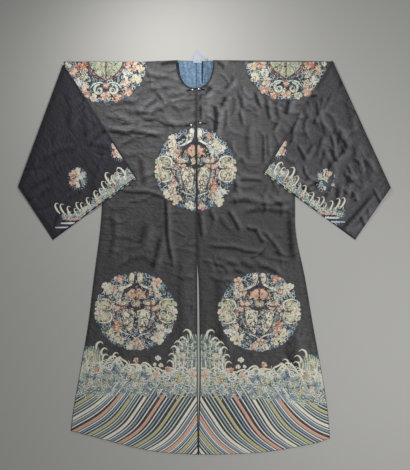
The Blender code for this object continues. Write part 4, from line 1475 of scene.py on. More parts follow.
def cloud_head(stitching, across, up, toward, edge, heart):
    """A head of two thick curls that bulge towards the middle, with petals between and behind."""
    facing = 180 if toward < 0 else 0
    for side in (-1, 1):
        low = np.array([across + 0.02 * toward, up + 0.14 * side])
        stitching.rosette(low, 0.15, ("ink", "moss", "cream", heart), 7, 0.12, 40 * side)
        for index in range(7):
            spot = low + 0.08 * np.array([math.cos(1.3 * index + side), math.sin(1.3 * index + side)])
            threads = (("ink", "moss", edge), "ink cream", "brown olive cream")[index % 3]
            curl(stitching, spot, 0.05, 80 * index, 0.9 * side, threads, 1.9, 2)
        knots = ((-0.13, 0.27), (0.01, 0.29), (0.15, 0.235), (0.185, 0.13), (0.13, 0.035), (0.05, 0.05))
        knots = [(across + out * toward, up + rise * side) for out, rise in knots]
        threads = ("ink", "ink", "moss", edge, "white")
        stitching.stroke(knots, (1.8, 5.0, 6.2, 6.2, 4.6, 1.6), threads, 3, step=2.8)
    peony(stitching, (across - 0.12 * toward, up), 0.13, 7, "cream cream rose", facing, 2)
    for side in (-1, 1):
        spot = (across - 0.15 * toward, up + 0.17 * side)
        peony(stitching, spot, 0.08, 5, ("leaf", "cream", heart), facing, 2)


def wing(stitching, side, heart):
    """One of two long leaves, mottled all over, that meet below the middle of a roundel."""
    rng = np.random.default_rng(21)
    outline = mirrored(side, 0.02, 0.02, 0.18, 0.06, 0.33, 0.03, 0.345, -0.14, 0.28, -0.34)
    outline += mirrored(side, 0.16, -0.52, 0.09, -0.52, 0.05, -0.30)
    marks = ("ink ink", "cream white", "olive ink", "teal mint", "ink brown", (heart, "cream"))
    mottled(stitching, rng, outline, "cream", marks, 60, 0.04, 1.2)
    blue = mirrored(side, 0.38, 0.0, 0.47, -0.03, 0.42, -0.24, 0.3, -0.44, 0.33, -0.26)
    marks = ("ink sky", "navy mint white", "ink mist", "slate white")
    mottled(stitching, rng, blue, "teal", marks, 22, 0.032, 0.9)


def roundel_middle(stitching, scheme):
    """The winged form in the middle of a roundel, an ordinary pattern of petals and scrolls."""
    heads = {"lower": "cream", "chest": "white"}[scheme]
    heart = "olive" if scheme == "lower" else "leaf"
    rng = np.random.default_rng(23)
    for side in (-1, 1):
        wing(stitching, side, heart)
        rim = mirrored(side, 0.50, 0.0, 0.46, -0.2, 0.32, -0.47, 0.03, -0.66)
        stitching.stroke(rim, (2.4, 3.4, 3.4, 2.4), "ink ink brown", 2)
        lobe = mirrored(side, 0.012, 0.32, 0.012, 0.52, 0.06, 0.565, 0.15, 0.52)
        lobe += mirrored(side, 0.23, 0.42, 0.26, 0.28, 0.16, 0.34, 0.09, 0.28)
        marks = ("coral salmon", "rose cream", "red coral", "salmon cream")
        mottled(stitching, rng, lobe, "salmon", marks, 24, 0.036, 1.2)
        below = mirrored(side, 0.012, 0.30, 0.08, 0.27, 0.12, 0.20, 0.08, 0.12, 0.012, 0.12)
        mottled(stitching, rng, below, "leaf", ("ink moss", "teal cream"), 9, 0.03, 1.4)
        cap = mirrored(side, 0.0, 0.64, 0.15, 0.60, 0.28, 0.48, 0.34, 0.28, 0.24, 0.23)
        stitching.stroke(cap, (1.6, 3.0, 3.0, 2.4, 1.2), "ink ink brown", 3)
        brow = mirrored(side, 0.05, 0.10, 0.18, 0.15, 0.36, 0.13, 0.54, 0.17)
        stitching.stroke(brow, (1.4, 2.8, 2.8, 1.2), "ink ink brown", 3)
        curl(stitching, (0.22 * side, 0.225), 0.06, 90 - 40 * side, -1.2 * side, "navy sky white", 1.8, 3)
        curl(stitching, (0.055 * side, -0.40), 0.04, 20, 1.0 * side, "navy blue white", 1.5, 3)
        horn = (0.02, 0.93, 0.10, 0.955, 0.17, 0.88, 0.165, 0.76, 0.11, 0.68, 0.05, 0.70, 0.03, 0.82)
        marks = ("mint white", "ink moss", ("salmon", heads), "mist white")
        mottled(stitching, rng, mirrored(side, *horn), heads, marks, 15, 0.04, 1.6)
        ribbon = mirrored(side, 0.10, 0.70, 0.14, 0.64, 0.24, 0.59, 0.38, 0.53)
        stitching.stroke(ribbon, (6.0, 6.0, 5.0, 1.6), ("ink", "mint", heads, "white"), 3, step=2.8)
        tail = mirrored(side, 0.02, -0.66, 0.10, -0.59, 0.22, -0.55, 0.35, -0.47)
        stitching.stroke(tail, (1.8, 4.0, 4.0, 1.2), "slate mint white", 2)
        for across, up, radius, threads in (
            (0.29, 0.20, 0.085, "cream olive salmon"),
            (0.41, 0.21, 0.085, "salmon brown cream"),
            (0.29, 0.08, 0.075, "rose salmon cream"),
            (0.45, 0.07, 0.095, "rose brown cream"),
            (0.54, 0.12, 0.06, "cream rose brown"),
            (0.53, -0.06, 0.06, "rose red cream"),
        ):
            peony(stitching, (across * side, up), radius, 5, threads, 370 * up, 1 + across)
        cloud_head(stitching, 0.76 * side, 0.01, -side, heads, "olive")
    peony(stitching, (0, 0.18), 0.06, 5, "salmon coral cream", 0, 3)


def fill_with_curls(stitching, seed, taken, reach, spacing, schemes):
    """Small cloud curls wherever the larger shapes leave the ground free."""
    rng = np.random.default_rng(seed)
    placed = np.zeros((0, 2))
    holes = np.array([[*spot, radius] for spot, radius in taken])
    bodies = ("ink slate blue", "ink slate mist", "ink teal mist", "ink blue slate")
    for attempt in range(GROUND_CURLS):
        angle = rng.uniform(0, math.tau)
        radius = reach * math.sqrt(rng.uniform(0, 1))
        size = rng.uniform(0.8, 1.2) * spacing
        spot = np.array(polar(radius, angle))
        start = rng.uniform(0, 360)
        turns = either_way(rng, 0.6, 1.15)
        scheme = pick(rng, schemes)
        body = pick(rng, bodies)
        if np.any(np.hypot(*(spot - holes[:, :2]).T) < holes[:, 2]):
            continue
        if len(placed) and np.hypot(*(spot - placed).T).min() < 1.22 * spacing:
            continue
        placed = np.vstack([placed, spot])
        if attempt % 2:
            stitching.rosette(spot, size * 0.9, body, 5, 0.15, start, 0.5, (1.0, 0.5))
        curl(stitching, spot, size * 0.8, start, turns, scheme, 1.8, 1.2)


CURLS = (
    "navy blue white", "slate sky white", "ink slate sky", "slate mist white",
    "navy teal mint", "blue white cream", "plum blue sky", "teal mint cream",
)

# Discs that the middle of a roundel takes up, the same on both sides: across, up, radius
MIDDLE_TAKEN = (
    (0.0, 0.6, 0.12), (0.0, 0.3, 0.2), (0.0, 0.1, 0.14), (0.0, 0.8, 0.1), (0.22, -0.06, 0.2),
    (0.18, -0.26, 0.16), (0.12, -0.45, 0.1), (0.14, 0.44, 0.18), (0.12, 0.84, 0.12), (0.25, 0.59, 0.08),
    (0.77, 0.14, 0.17), (0.77, -0.14, 0.17), (0.4, 0.1, 0.14),
)
SHOULDER_TAKEN = (
    (0.0, -0.08, 0.2), (0.2, -0.08, 0.18), (0.1, -0.28, 0.12), (0.14, -0.68, 0.18), (0.0, -0.5, 0.1),
)


def shoulder_middle(stitching):
    """The part of a shoulder roundel below the fold: a leafy fan over a pair of pale curls."""
    rng = np.random.default_rng(27)
    for side in (-1, 1):
        fan = mirrored(side, 0.012, 0.03, 0.38, 0.03, 0.37, -0.10, 0.27, -0.25, 0.13, -0.36, 0.012, -0.38)
        marks = ("ink moss", "olive cream", "brown olive", "ink leaf cream")
        mottled(stitching, rng, fan, "leaf", marks, 44, 0.04, 1.2)
        rim = mirrored(side, 0.42, 0.02, 0.40, -0.14, 0.27, -0.33, 0.02, -0.43)
        stitching.stroke(rim, (2.0, 3.4, 3.4, 2.0), "ink brown red", 2)
        start = 90 + 10 * side
        curl(stitching, (0.16 * side, -0.66), 0.13, start, -1.05 * side, "ink leaf mint white", 6.0, 3)
        curl(stitching, (0.15 * side, -0.66), 0.06, 250, 0.9 * side, "teal moss cream", 2.6, 4)
        limb = mirrored(side, 0.03, -0.52, 0.13, -0.49, 0.27, -0.52, 0.36, -0.62)
        stitching.stroke(limb, (1.8, 3.6, 3.8, 1.4), "slate mint white", 2)
    peony(stitching, (0.0, -0.56), 0.08, 6, "rose red cream", 0, 3)
    peony(stitching, (0.0, -0.80), 0.12, 6, "salmon cream coral", 0, 2)


def draw_roundel(stitching, scheme, seed):
    """A whole roundel in drawing units, radius 1."""
    angles = np.arange(120) * math.tau / 120
    outline = 0.965 + 0.018 * np.cos(30 * angles)
    stitching.ground(np.column_stack([outline * np.cos(angles), outline * np.sin(angles)]), "ground")
    rng = np.random.default_rng(seed)
    on_shoulder = scheme == "shoulder"
    if on_shoulder:
        shoulder_middle(stitching)
    else:
        roundel_middle(stitching, scheme)
    taken = []
    for across, up, radius in SHOULDER_TAKEN if on_shoulder else MIDDLE_TAKEN:
        taken += [((across * side, up), radius) for side in (-1, 1)]
    for across, up, radius, lobes, threads in FLOWERS[scheme]:
        peony(stitching, (across, up), radius, lobes, threads, rng.uniform(0, 360))
        taken.append(((across, up), radius * 0.95))
    for across, up, radius, lobes, threads in FLOWERS[scheme]:
        for index in range(LEAVES):
            angle = rng.uniform(0, math.tau)
            reach = radius * 0.95
            base = (across + reach * math.cos(angle), up + reach * math.sin(angle))
            tip_reach = reach + 0.1
            bend = angle + 0.5
            tip = (across + tip_reach * math.cos(bend), up + tip_reach * math.sin(bend))
            if np.hypot(*tip) < 0.97:
                leaf = ("slate leaf mint", "teal olive moss")[index % 2]
                stitching.stroke([base, tip], (1.0, 3.0, 0.4), leaf, 0.9)
    for index in range(RIM_CURLS):
        angle = math.tau * (index + 0.3 * rng.uniform(-1, 1)) / RIM_CURLS
        reach = 0.905 + rng.uniform(-0.015, 0.03)
        spot = polar(reach, angle)
        if any(np.hypot(spot[0] - row[0][0], spot[1] - row[0][1]) < row[1] for row in taken):
            continue
        colours = pick(rng, CURLS)
        stitching.rosette(spot, 0.07, "ink slate navy", level=0.5)
        curl(stitching, spot, 0.06, math.degrees(angle) + 60, 0.95, colours, 2.0, 1.2)
        taken.append((spot, 0.06))
    fill_with_curls(stitching, seed + 1, taken, 0.94, 0.052, CURLS)
    outlines = ("ink ink", "cream white", "ink brown", "slate mint", "ink teal", "ink navy")
    for index in range(TOP_CURLS):
        angle = rng.uniform(0, math.tau)
        reach = 0.9 * math.sqrt(rng.uniform(0, 1))
        spot = polar(reach, angle)
        tint = pick(rng, outlines)
        turns = either_way(rng, 0.35, 0.8)
        curl(stitching, spot, rng.uniform(0.028, 0.055), rng.uniform(0, 360), turns, tint, 1.25, 4.4)


def make_roundels():
    """The five large roundels that show on the front."""
    for name, (scheme, across, down, width, height, mirror) in ROUNDELS.items():
        for half in HALVES.values():
            if name != "chest" and not name.endswith(half.name):
                continue
            fences = [opening_fence(half, OPENING_MARGIN)]
            if name.startswith("shoulder"):
                outward = square_to(half.cuff_top - half.tip, (half.side, 0.0))
                fences = [line_fence((0, -5.0), (0, 1)), line_fence(half.tip, outward)]
            stitching = Stitching(disc_place((across, -down), width, height, mirror), fences)
            draw_roundel(stitching, scheme, SEEDS[name])
            stitching.to_object("roundel_%s_%s" % (name, half.name), half.front_top)


# Hem border: waves, rocks and slanting stripes. Drawn as distances outward from the centre and
# down from the shoulder on the left half, in millimetres, and carried over to the right half.

STRIPE_PERIOD = 53.0
STRIPE_FIRST = 445.0
STRIPE_DEPTH = 42.0
WAVE_FOOT = 1184
ROCK_FOOT = 1112
WIDE_STRIPES = (
    "coral salmon salmon coral",
    "olive moss moss olive",
    "leaf cream white cream",
)

# Narrow stripes between two wide ones: place and half width as shares of a period, colours
NARROW_STRIPES = (
    (0.27, 0.07, ("slate white white", "mist mint white", "blue white mint")),
    (0.46, 0.08, ("navy blue sky", "teal mist sky", "plum sky slate")),
    (0.68, 0.07, ("slate sky white", "teal mint white", "slate white white")),
)

# Claws of foam on the rocks: outward, down, size
CENTRE_CLAWS = (
    (34, 957, 21), (49, 984, 20), (65, 998, 22), (78, 1016, 21), (87, 1042, 20), (94, 1066, 18),
    (98, 1090, 15),
)
SIDE_CLAWS = ((350, 1000, 20), (333, 1022, 17), (329, 1044, 16), (337, 1066, 17), (352, 1086, 13))
WAVE_CLAWS = (
    (292, 1038, 15), (278, 1052, 11), (232, 1086, 12), (186, 1080, 14), (142, 1098, 12), (118, 1100, 12),
    (250, 1076, 10), (206, 1092, 10),
)

# Flowers on the border: outward, down, radius, lobes, threads from rim to heart
BORDER_FLOWERS = (
    (55, 1046, 13, 6, "cream olive salmon"), (66, 1072, 9, 5, "cream salmon olive"),
    (140, 1056, 11, 6, "white cream rose"), (130, 1081, 9, 5, "cream white rose"),
    (152, 1078, 7, 5, "white mist cream"), (218, 1064, 11, 5, "salmon coral brown"),
    (218, 1080, 7, 5, "cream salmon cream"), (357, 1096, 9, 5, "red salmon cream"),
    (343, 1101, 8, 5, "cream red cream"), (108, 1092, 9, 5, "coral salmon red"),
    (96, 1097, 7, 5, "rose coral cream"), (379, 1132, 9, 5, "salmon cream salmon"),
    (345, 1146, 10, 5, "olive cream olive"), (228, 1121, 11, 6, "moss olive cream"),
    (146, 1112, 13, 6, "salmon cream rose"), (160, 1124, 9, 5, "cream rose cream"),
    (70, 1126, 13, 6, "olive cream red"), (56, 1138, 9, 5, "cream olive brown"),
    (18, 1112, 13, 6, "salmon cream coral"), (8, 1132, 10, 5, "cream salmon cream"),
    (112, 1150, 9, 6, "moss cream olive"), (380, 1040, 12, 6, "cream moss olive"),
    (368, 1076, 11, 5, "cream moss salmon"), (266, 1098, 9, 5, "cream mist white"),
)


def hem_place(half):
    """Carry the left half's border drawing over to a half's own outline."""
    left = HALVES["left"]

    def place(points):
        y = -points[:, 1]
        share = points[:, 0] / -left.side_x(y)
        hem_share = np.clip(points[:, 0] / -left.hem_corner[0], 0, 1)
        drop = half.hem_y(hem_share) - left.hem_y(hem_share)
        side = half.side_x(y + drop)
        middle = half.opening_x(y + drop) * np.clip(1 - share, 0, 1)
        return np.column_stack([middle + share * side, y + drop])

    return place


def stripe_path(start):
    """The path of one stripe from its start along the hem, up and in towards the opening."""
    left = HALVES["left"]
    corner = -left.hem_corner[0]
    if start > corner:
        beyond = start - corner
        slope = math.radians(15)
        point = np.array([corner + beyond * math.cos(slope), 1315 - beyond * math.sin(slope)])
    else:
        down = -float(left.hem_y(np.array([max(start, 0.0) / corner]))[0])
        point = np.array([start, down + 4.0])
    path = [point.copy()]
    pace = 6.0
    for step in range(70):
        share = min(max(point[0] / corner, 0.0), 1.0)
        height = max(0.0, -float(left.hem_y(np.array([share]))[0]) - point[1])
        low = 29 + 22 * (1 - float(ramp(0.0, 0.33, share)))
        high = 31 + 25 * (1 - float(ramp(0.5, 0.95, share)))
        angle = math.radians(low + (high - low) * float(ramp(0, 120, height)))
        point = point + pace * np.array([-math.cos(angle), -math.sin(angle)])
        path.append(point.copy())
        if point[0] < -14 or point[1] < 1140:
            break
    path = np.array(path)
    return path[path[:, 0] < corner + 16]


def draw_stripes(stitching):
    """Slanting stripes of standing water: a wide stripe and three narrow ones in each period."""
    for count in range(-6, 9):
        start = STRIPE_FIRST - STRIPE_PERIOD * count
        pieces = [(0.0, 0.145, WIDE_STRIPES[count % 3])]
        for share, half_width, colours in NARROW_STRIPES:
            pieces.append((share, half_width, colours[count % len(colours)]))
        for share, half_width, colours in pieces:
            path = stripe_path(start - STRIPE_PERIOD * share)
            if len(path) < 3:
                continue
            width = half_width * STRIPE_DEPTH
            stitching.stroke(path[::2] if len(path) > 6 else path, (width, width), colours, 1, step=5.0)


FOAM = "moss cream white"

# A claw's path for a size of 1, towards the side that it leans to and along, then its half widths
HEM_CLAW = ((0.85, 0.34), (0.35, -0.10), (-0.22, 0.14), (-0.46, 0.70), (-0.42, 1.5)), (0.14, 0.23, 0.22, 0.10)
CUFF_CLAW = ((0.55, -0.28), (0.15, 0.12), (-0.25, -0.18), (-0.38, -0.9), (-0.3, -1.9)), (0.13, 0.2, 0.2, 0.1)


def claw(stitching, spot, size, lean, knots, widths, level):
    """A hooked claw of foam whose tip leans to one side."""
    knots = [(spot[0] + lean * across * size, spot[1] + along * size) for across, along in knots]
    widths = (0.5, *(width * size for width in widths))
    stitching.stroke(knots, widths, FOAM, level, step=2.6)


def scale_wave(stitching, centre, radius, threads, level):
    """A scalloped heap of foam in rings of blue and white."""
    stitching.rosette(centre, radius, threads, level=level, rings=(1.0, 0.9, 0.72, 0.55, 0.38, 0.2))


def bent_line(point, heading, length, bend):
    """Four knots of a short line that turns steadily."""
    knots = [np.array(point)]
    for step in range(3):
        knots.append(knots[-1] + length / 3 * np.array(polar(1, heading)))
        heading += bend
    return knots


def border_top(outward):
    """Where the waves of the border begin, down from the shoulder."""
    places = (-20, 5, 60, 110, 128, 160, 190, 225, 262, 290, 318, 350, 380, 412, 470)
    downs = (1098, 1096, 1092, 1098, 1102, 1088, 1074, 1082, 1068, 1046, 1064, 1078, 1066, 1086, 1100)
    return np.interp(outward, places, downs)


FLOWS = (FOAM, "slate mint white", "navy sky mist", "teal leaf mint")
WAVES = (
    "navy mint teal slate mint cream",
    "ink mint teal ink mint white",
    "navy sky slate mist slate mist",
    "ink cream mist slate cream white",
    "ink moss leaf teal mint cream",
)


def draw_waves(stitching, seed):
    """Heaps of foam with curls, cream lines of spray along the top and flowers among them."""
    rng = np.random.default_rng(seed)
    rim = [(outward, border_top(outward) + 10.0) for outward in range(-12, 452, 12)]
    rim += [(outward, WAVE_FOOT + 7 * math.sin(outward / 13.0)) for outward in range(450, -13, -10)]
    stitching.ground(rim, "slate", 0.5)
    for row in range(6):
        for column in range(-1, 20):
            outward = 25.0 * column + 12.0 * (row % 2) + rng.uniform(-5, 5)
            top = float(border_top(outward))
            down = top + 24 + 16.0 * row + rng.uniform(-4, 4)
            if down > WAVE_FOOT + 9 * math.sin(outward / 13.0):
                continue
            colours = pick(rng, WAVES)
            scale_wave(stitching, (outward, down), rng.uniform(9, 14), colours, 1.0 + 0.25 * row)
    flows = (*FLOWS, "slate mist cream", "ink slate blue", "moss cream moss", "ink teal mist")
    for index in range(WAVE_LINES):
        outward = rng.uniform(-4, 452)
        top = float(border_top(outward))
        depth = rng.uniform(2, 1192 - top)
        heading = rng.choice([-0.9, -0.5, 0.4, 0.8, 2.6]) + rng.uniform(-0.4, 0.4)
        length = rng.uniform(9, 22)
        knots = bent_line((outward, top + depth), heading, length, rng.uniform(-0.9, 0.9))
        light = rng.uniform(0, 1) > 0.2 + depth / 150
        colours = flows[int(rng.choice([0, 1, 6]))] if light else pick(rng, flows)
        width = rng.uniform(1.4, 2.4)
        stitching.stroke(knots, (0.5, width, width, 0.5), colours, rng.uniform(2.0, 3.4), step=3.0)
    for index in range(WAVE_CURLS):
        outward = rng.uniform(-4, 448)
        top = float(border_top(outward))
        depth = rng.uniform(4, WAVE_FOOT - top)
        light = rng.uniform(0, 1) > depth / 105
        colours = FOAM if light else pick(rng, CURLS)
        turns = either_way(rng, 0.7, 1.1)
        size = rng.uniform(5.5, 9.5)
        curl(stitching, (outward, top + depth), size, rng.uniform(0, 360), turns, colours, 0.24 * size, 3.4)
    for start in range(6, 440, 34):
        spot = (start, float(border_top(start)) + rng.uniform(12, 26))
        curl(stitching, spot, rng.uniform(11, 15), rng.uniform(0, 360), 1.1, FOAM, 3.2, 3.8)
    for line in range(3):
        for start in range(-10, 440, 42):
            shift = start + 14.0 * line
            knots = []
            for share in np.linspace(0, 1, 6):
                outward = shift + 46.0 * share
                lift = 12.0 * math.sin(math.pi * share) ** 0.8
                top = float(border_top(outward))
                knots.append((outward, top + 8.0 + 12.0 * line - lift + rng.uniform(-1.5, 1.5)))
            colours = (FOAM, "leaf cream", "slate mint white")[line]
            stitching.stroke(knots, (1.2, 3.4, 3.8, 3.0, 1.0), colours, 3.6, step=3.0)
    for *spot, size in WAVE_CLAWS:
        claw(stitching, spot, size, -1 if spot[0] > 200 else 1, *HEM_CLAW, 4.0)


def draw_rocks(stitching):
    """Upright banded rocks beside the opening and at the side, clawed with foam."""
    centre = mirrored(1, -6, 1120, -6, 976, 20, 968, 40, 980, 62, 1012, 84, 1050, 92, 1120)
    side = mirrored(1, 330, 1120, 334, 1060, 344, 1030, 362, 1012, 400, 1014, 420, 1120)
    for outline in (centre, side):
        stitching.ground(outline, "teal", 0.6)
    bands = ("teal leaf mint", "navy slate mist", "slate mint white", "ink teal leaf")
    for index in range(12):
        outward = 4 + 7.4 * index
        top = 970 + 0.3 * abs(index - 2) ** 2.35
        sway = 3.5 * math.sin(index * 1.7)
        knots = [
            (outward + 3, top),
            (outward - 2 + sway, top + 22),
            (outward + sway, (top + 1110) / 2),
            (outward + 2 - sway, ROCK_FOOT),
        ]
        widths = (2.0, 4.4, 4.6, 4.2)
        stitching.stroke(knots, widths, bands[index % 4], 1.4 + 0.5 * (index % 2), step=4.0)
    for index in range(9):
        outward = 412 - 8.0 * index
        top = 1010 + 5.5 * abs(index - 4.5)
        knots = [(outward - 4, top), (outward, top + 22), (outward - 2, top + 50), (outward + 3, ROCK_FOOT)]
        tint = ("moss leaf cream", "slate mist mint", "olive moss cream")[index % 3]
        stitching.stroke(knots, (2.0, 4.6, 4.8, 4.0), tint, 1.4 + 0.5 * (index % 2), step=4.0)
    rng = np.random.default_rng(17)
    scrolls = ("ink teal", "slate mint white", FOAM, "ink leaf moss")
    for index in range(ROCK_CURLS):
        near = index % 3 > 0
        outward = rng.uniform(-2, 88) if near else rng.uniform(338, 418)
        top = 975 + 0.012 * max(0.0, outward - 20) ** 2 if near else 1015
        spot = (outward, rng.uniform(top + 8, ROCK_FOOT))
        tint = pick(rng, scrolls)
        turns = either_way(rng, 0.5, 0.95)
        curl(stitching, spot, rng.uniform(4.5, 8.5), rng.uniform(0, 360), turns, tint, 1.5, 4.2)
    for lean, claws in ((1, CENTRE_CLAWS), (-1, SIDE_CLAWS)):
        for *spot, size in claws:
            claw(stitching, spot, size, lean, *HEM_CLAW, 3)


def make_hem_border(half):
    """The whole border of one half."""
    stitching = Stitching(hem_place(half), [hem_fence(half, 1.5), opening_fence(half, OPENING_MARGIN)])
    draw_stripes(stitching)
    draw_rocks(stitching)
    draw_waves(stitching, 71)
    rng = np.random.default_rng(73)
    for outward, down, radius, lobes, threads in BORDER_FLOWERS:
        peony(stitching, (outward, down), radius, lobes, threads, rng.uniform(0, 360), 4.4)
    return stitching.to_object("hem_border_" + half.name, half.front_top)


def cuff_place(half):
    """Drawing space of a cuff: along it from the upper corner, and in from its edge."""
    inward = -half.along

    def place(points):
        return half.cuff_top + np.outer(points[:, 0], half.cuff_along) + np.outer(points[:, 1], inward)

    return place


# Claws of foam on a cuff: along it, in from its edge, size
CUFF_CLAWS = (
    (36, 66, 20), (54, 58, 13), (71, 57, 17), (84, 76, 21), (112, 60, 17), (132, 46, 13), (153, 49, 18),
    (189, 46, 17), (216, 44, 15), (229, 55, 16), (246, 42, 13), (263, 61, 18), (279, 82, 19), (293, 95, 19),
)

# Flowers on a cuff: along it, in from its edge, radius, threads from rim to heart
CUFF_FLOWERS = (
    (84, 30, 9, "brown red brown"), (100, 14, 9, "olive cream olive"), (160, 18, 9, "salmon cream rose"),
    (206, 20, 8, "cream moss olive"), (36, 24, 9, "white mist white"), (58, 40, 8, "white cream mist"),
)


def cuff_depth(along):
    """How far the waves reach in from the cuff's edge."""
    return np.interp(along, (0, 30, 90, 130, 240, 262, 300), (40, 52, 56, 34, 28, 40, 62))


def draw_cuff(stitching, seed, length):
    """A wave border along a cuff, with a few stripes at its lower end."""
    rng = np.random.default_rng(seed)
    reach = 0.815 * length
    rim = [(along, 3.0) for along in np.arange(4, reach, 12)]
    rim += [(along, cuff_depth(along) - 8) for along in np.arange(reach, 4, -10)]
    stitching.ground(rim, "slate", 0.5)
    for row in range(4):
        for column in range(17):
            along = 8 + 18.0 * column + 9.0 * (row % 2) + rng.uniform(-4, 4)
            into = 9 + 11.5 * row + rng.uniform(-3, 3)
            if into > cuff_depth(along) - 6 or along > reach - 6:
                continue
            colours = pick(rng, WAVES)
            scale_wave(stitching, (along, into), rng.uniform(7, 11), colours, 1.6 - 0.2 * row)
    flows = (*FLOWS, FOAM, "ink slate blue")
    for index in range(CUFF_LINES):
        along = rng.uniform(4, reach - 4)
        into = rng.uniform(3, cuff_depth(along) - 2)
        heading = rng.choice([0.5, 1.2, 2.2]) + rng.uniform(-0.4, 0.4)
        bend = rng.uniform(-0.9, 0.9)
        knots = bent_line((along, into), heading, rng.uniform(9, 20), bend)
        width = rng.uniform(1.2, 2.2)
        colours = pick(rng, flows)
        stitching.stroke(knots, (0.5, width, width, 0.5), colours, rng.uniform(2.0, 3.2), step=3.0)
    for index in range(CUFF_CURLS):
        along = rng.uniform(6, reach - 8)
        into = rng.uniform(6, cuff_depth(along))
        light = rng.uniform(0, 1) < into / 50
        colours = FOAM if light else pick(rng, CURLS)
        size = rng.uniform(4.5, 8.5)
        turns = either_way(rng, 0.7, 1.1)
        curl(stitching, (along, into), size, rng.uniform(0, 360), turns, colours, 0.22 * size, 3.2)
    stripes = (WIDE_STRIPES[0], "ink navy navy", WIDE_STRIPES[2], "ink navy navy", "slate sky white")
    for index, colours in enumerate(stripes):
        start = 246 + 12.5 * index
        knots = [(start, 1.0), (start + 22, 15.5), (start + 43, 30)]
        stitching.stroke(knots, (3.4, 3.6, 2.6), colours, 3.4, step=4.0)
    for *spot, size in CUFF_CLAWS:
        claw(stitching, spot, size, 1 if spot[0] < 60 else -1, *CUFF_CLAW, 4)
    for *spot, radius, threads in CUFF_FLOWERS:
        peony(stitching, spot, radius, 6, threads, rng.uniform(0, 360), 3.6)


def draw_small_roundel(stitching, seed):
    """A small oval of flowers and curls, radius 1."""
    rng = np.random.default_rng(seed)
    stitching.rosette((0, 0), 0.98, "ink navy slate", 12, 0.1, 0, 0.6)
    spots = (
        (-0.42, 0.35, 0.42, "salmon rose brown"),
        (-0.40, -0.25, 0.40, "rose salmon coral"),
        (0.05, 0.1, 0.46, "cream white olive"),
        (0.02, 0.66, 0.3, "cream salmon cream"),
        (0.05, -0.42, 0.34, "cream moss cream"),
        (0.5, 0.3, 0.34, "mist sky white"),
        (0.48, -0.25, 0.34, "slate mist sky"),
    )
    for across, up, radius, threads in spots:
        peony(stitching, (across, up), radius, 5, threads, rng.uniform(0, 360), 1.2)
    for index in range(12):
        angle = index * math.tau / 12
        spot = polar(0.86, angle)
        colours = pick(rng, CURLS)
        curl(stitching, spot, 0.2, math.degrees(angle) + 60, 0.9, colours, 1.1, 2)


def make_sleeve_embroidery(half):
    """The cuff's waves and the two small roundels of a flap."""
    top_edge = line_fence(half.tip - half.top_out * 5.0, half.top_out)
    cuff_edge = line_fence(half.cuff_low - half.along * 9.0, half.along)
    under_out = square_to(half.elbow - half.cuff_low, (0.0, -1.0))
    lower_edge = line_fence(half.cuff_low - 3.0 * under_out / np.linalg.norm(under_out), under_out)
    seam = line_fence(half.seam_high + half.along * 2.0, -half.along)
    fences = [top_edge, cuff_edge, lower_edge, seam]
    length = float(np.linalg.norm(half.cuff_low - half.cuff_top))
    cuff = Stitching(cuff_place(half), fences)
    draw_cuff(cuff, 81, length)
    cuff.to_object("cuff_border_" + half.name, half.flap_top)
    spots = {
        "left": (((-424.2, -420.7), 37.0, 43.0), ((-277.0, -320.0), 33.0, 42.0)),
        "right": (((454.4, -427.8), 37.0, 46.0), ((288.0, -312.0), 33.0, 42.0)),
    }
    for index, (centre, width, height) in enumerate(spots[half.name]):
        above = half.seam_high - half.along * 2.0
        side = -half.along if (np.asarray(centre) - above) @ half.along > 0 else half.along
        hold = [top_edge, line_fence(half.seam_high - side * 2.0, side)]
        small = Stitching(disc_place(centre, width, height, -half.side), hold)
        draw_small_roundel(small, 91 + index)
        small.to_object("small_roundel_%s_%d" % (half.name, index + 1), half.flap_top)


# Bindings, lining, tape and toggles

LINING_LOW = 1.24
LINING_TOP = 1.75
LINING_EASE = 0.6
SEAM_ACROSS = -4.3
LINING_START = 3.2
PLEAT_SHADOW_EDGE = 20.0
BACK_OF_NECK = 3.5
STITCH_INSET = 1.5

# Ball toggles: across, down, side that the cord points to
TOGGLES = {
    "neck_left": (-17.5, 106, -1),
    "neck_right": (4.5, 103, 1),
    "chest_left": (-22, 231, -1),
    "chest_right": (9.5, 223, 1),
}
SHANK_RADIUS = 1.7
WIRE_RADIUS = 0.55
CORD_RADIUS = 1.0

# The tape loop's outline at the back of the neck: across and up
TAPE_OUTLINE = (
    (-16, -9), (-13, 10), (-8, 28), (-1, 39), (5, 38), (36, 8), (33, 2), (25, 5), (0, 28), (-4, 24),
    (13, 5), (16, -9),
)


def sew_band(name, node, knots, widths, ground, colour, level):
    """A narrow binding, rounded over its width and laid on the cloth."""
    band = Stitching(as_drawn)
    band.stroke(knots, widths, "ink", level, step=3.0)
    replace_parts(band.to_object(name, ground, colour, "dark_binding", "Cloth"), node)


def opening_path(half, inset):
    """Points down the opening's edge, moved away from it."""
    downs = np.arange(101.0, 1398.0, 12.0)
    return np.column_stack([half.opening_x(-downs) + half.side * inset, -downs])


def cuff_path(half, inset):
    """The two ends of a line along the cuff, moved in from its edge."""
    back = half.along * inset
    return [half.cuff_top - back + half.cuff_along * 1.5, half.cuff_low - back - half.cuff_along * 1.5]


def neck_curve(inset, count=26):
    """The neck edge from the left shoulder round to the right one, moved outwards by inset."""
    left = [HALVES["left"].neck_point(turn) for turn in np.linspace(0, 0.97, count)]
    right = [HALVES["right"].neck_point(turn) for turn in np.linspace(0.97, 0, count)]
    curve = as_points(left + right)
    along = np.gradient(curve, axis=0)
    along /= np.linalg.norm(along, axis=1)[:, None]
    outward = np.column_stack([along[:, 1], -along[:, 0]])
    return curve + outward * inset


def whole_front_top(points):
    """Height of whichever front a point is on."""
    left = HALVES["left"].front_top(points)
    right = HALVES["right"].front_top(points)
    return np.where(points[:, 0] < OPENING_MIDDLE, left, right)


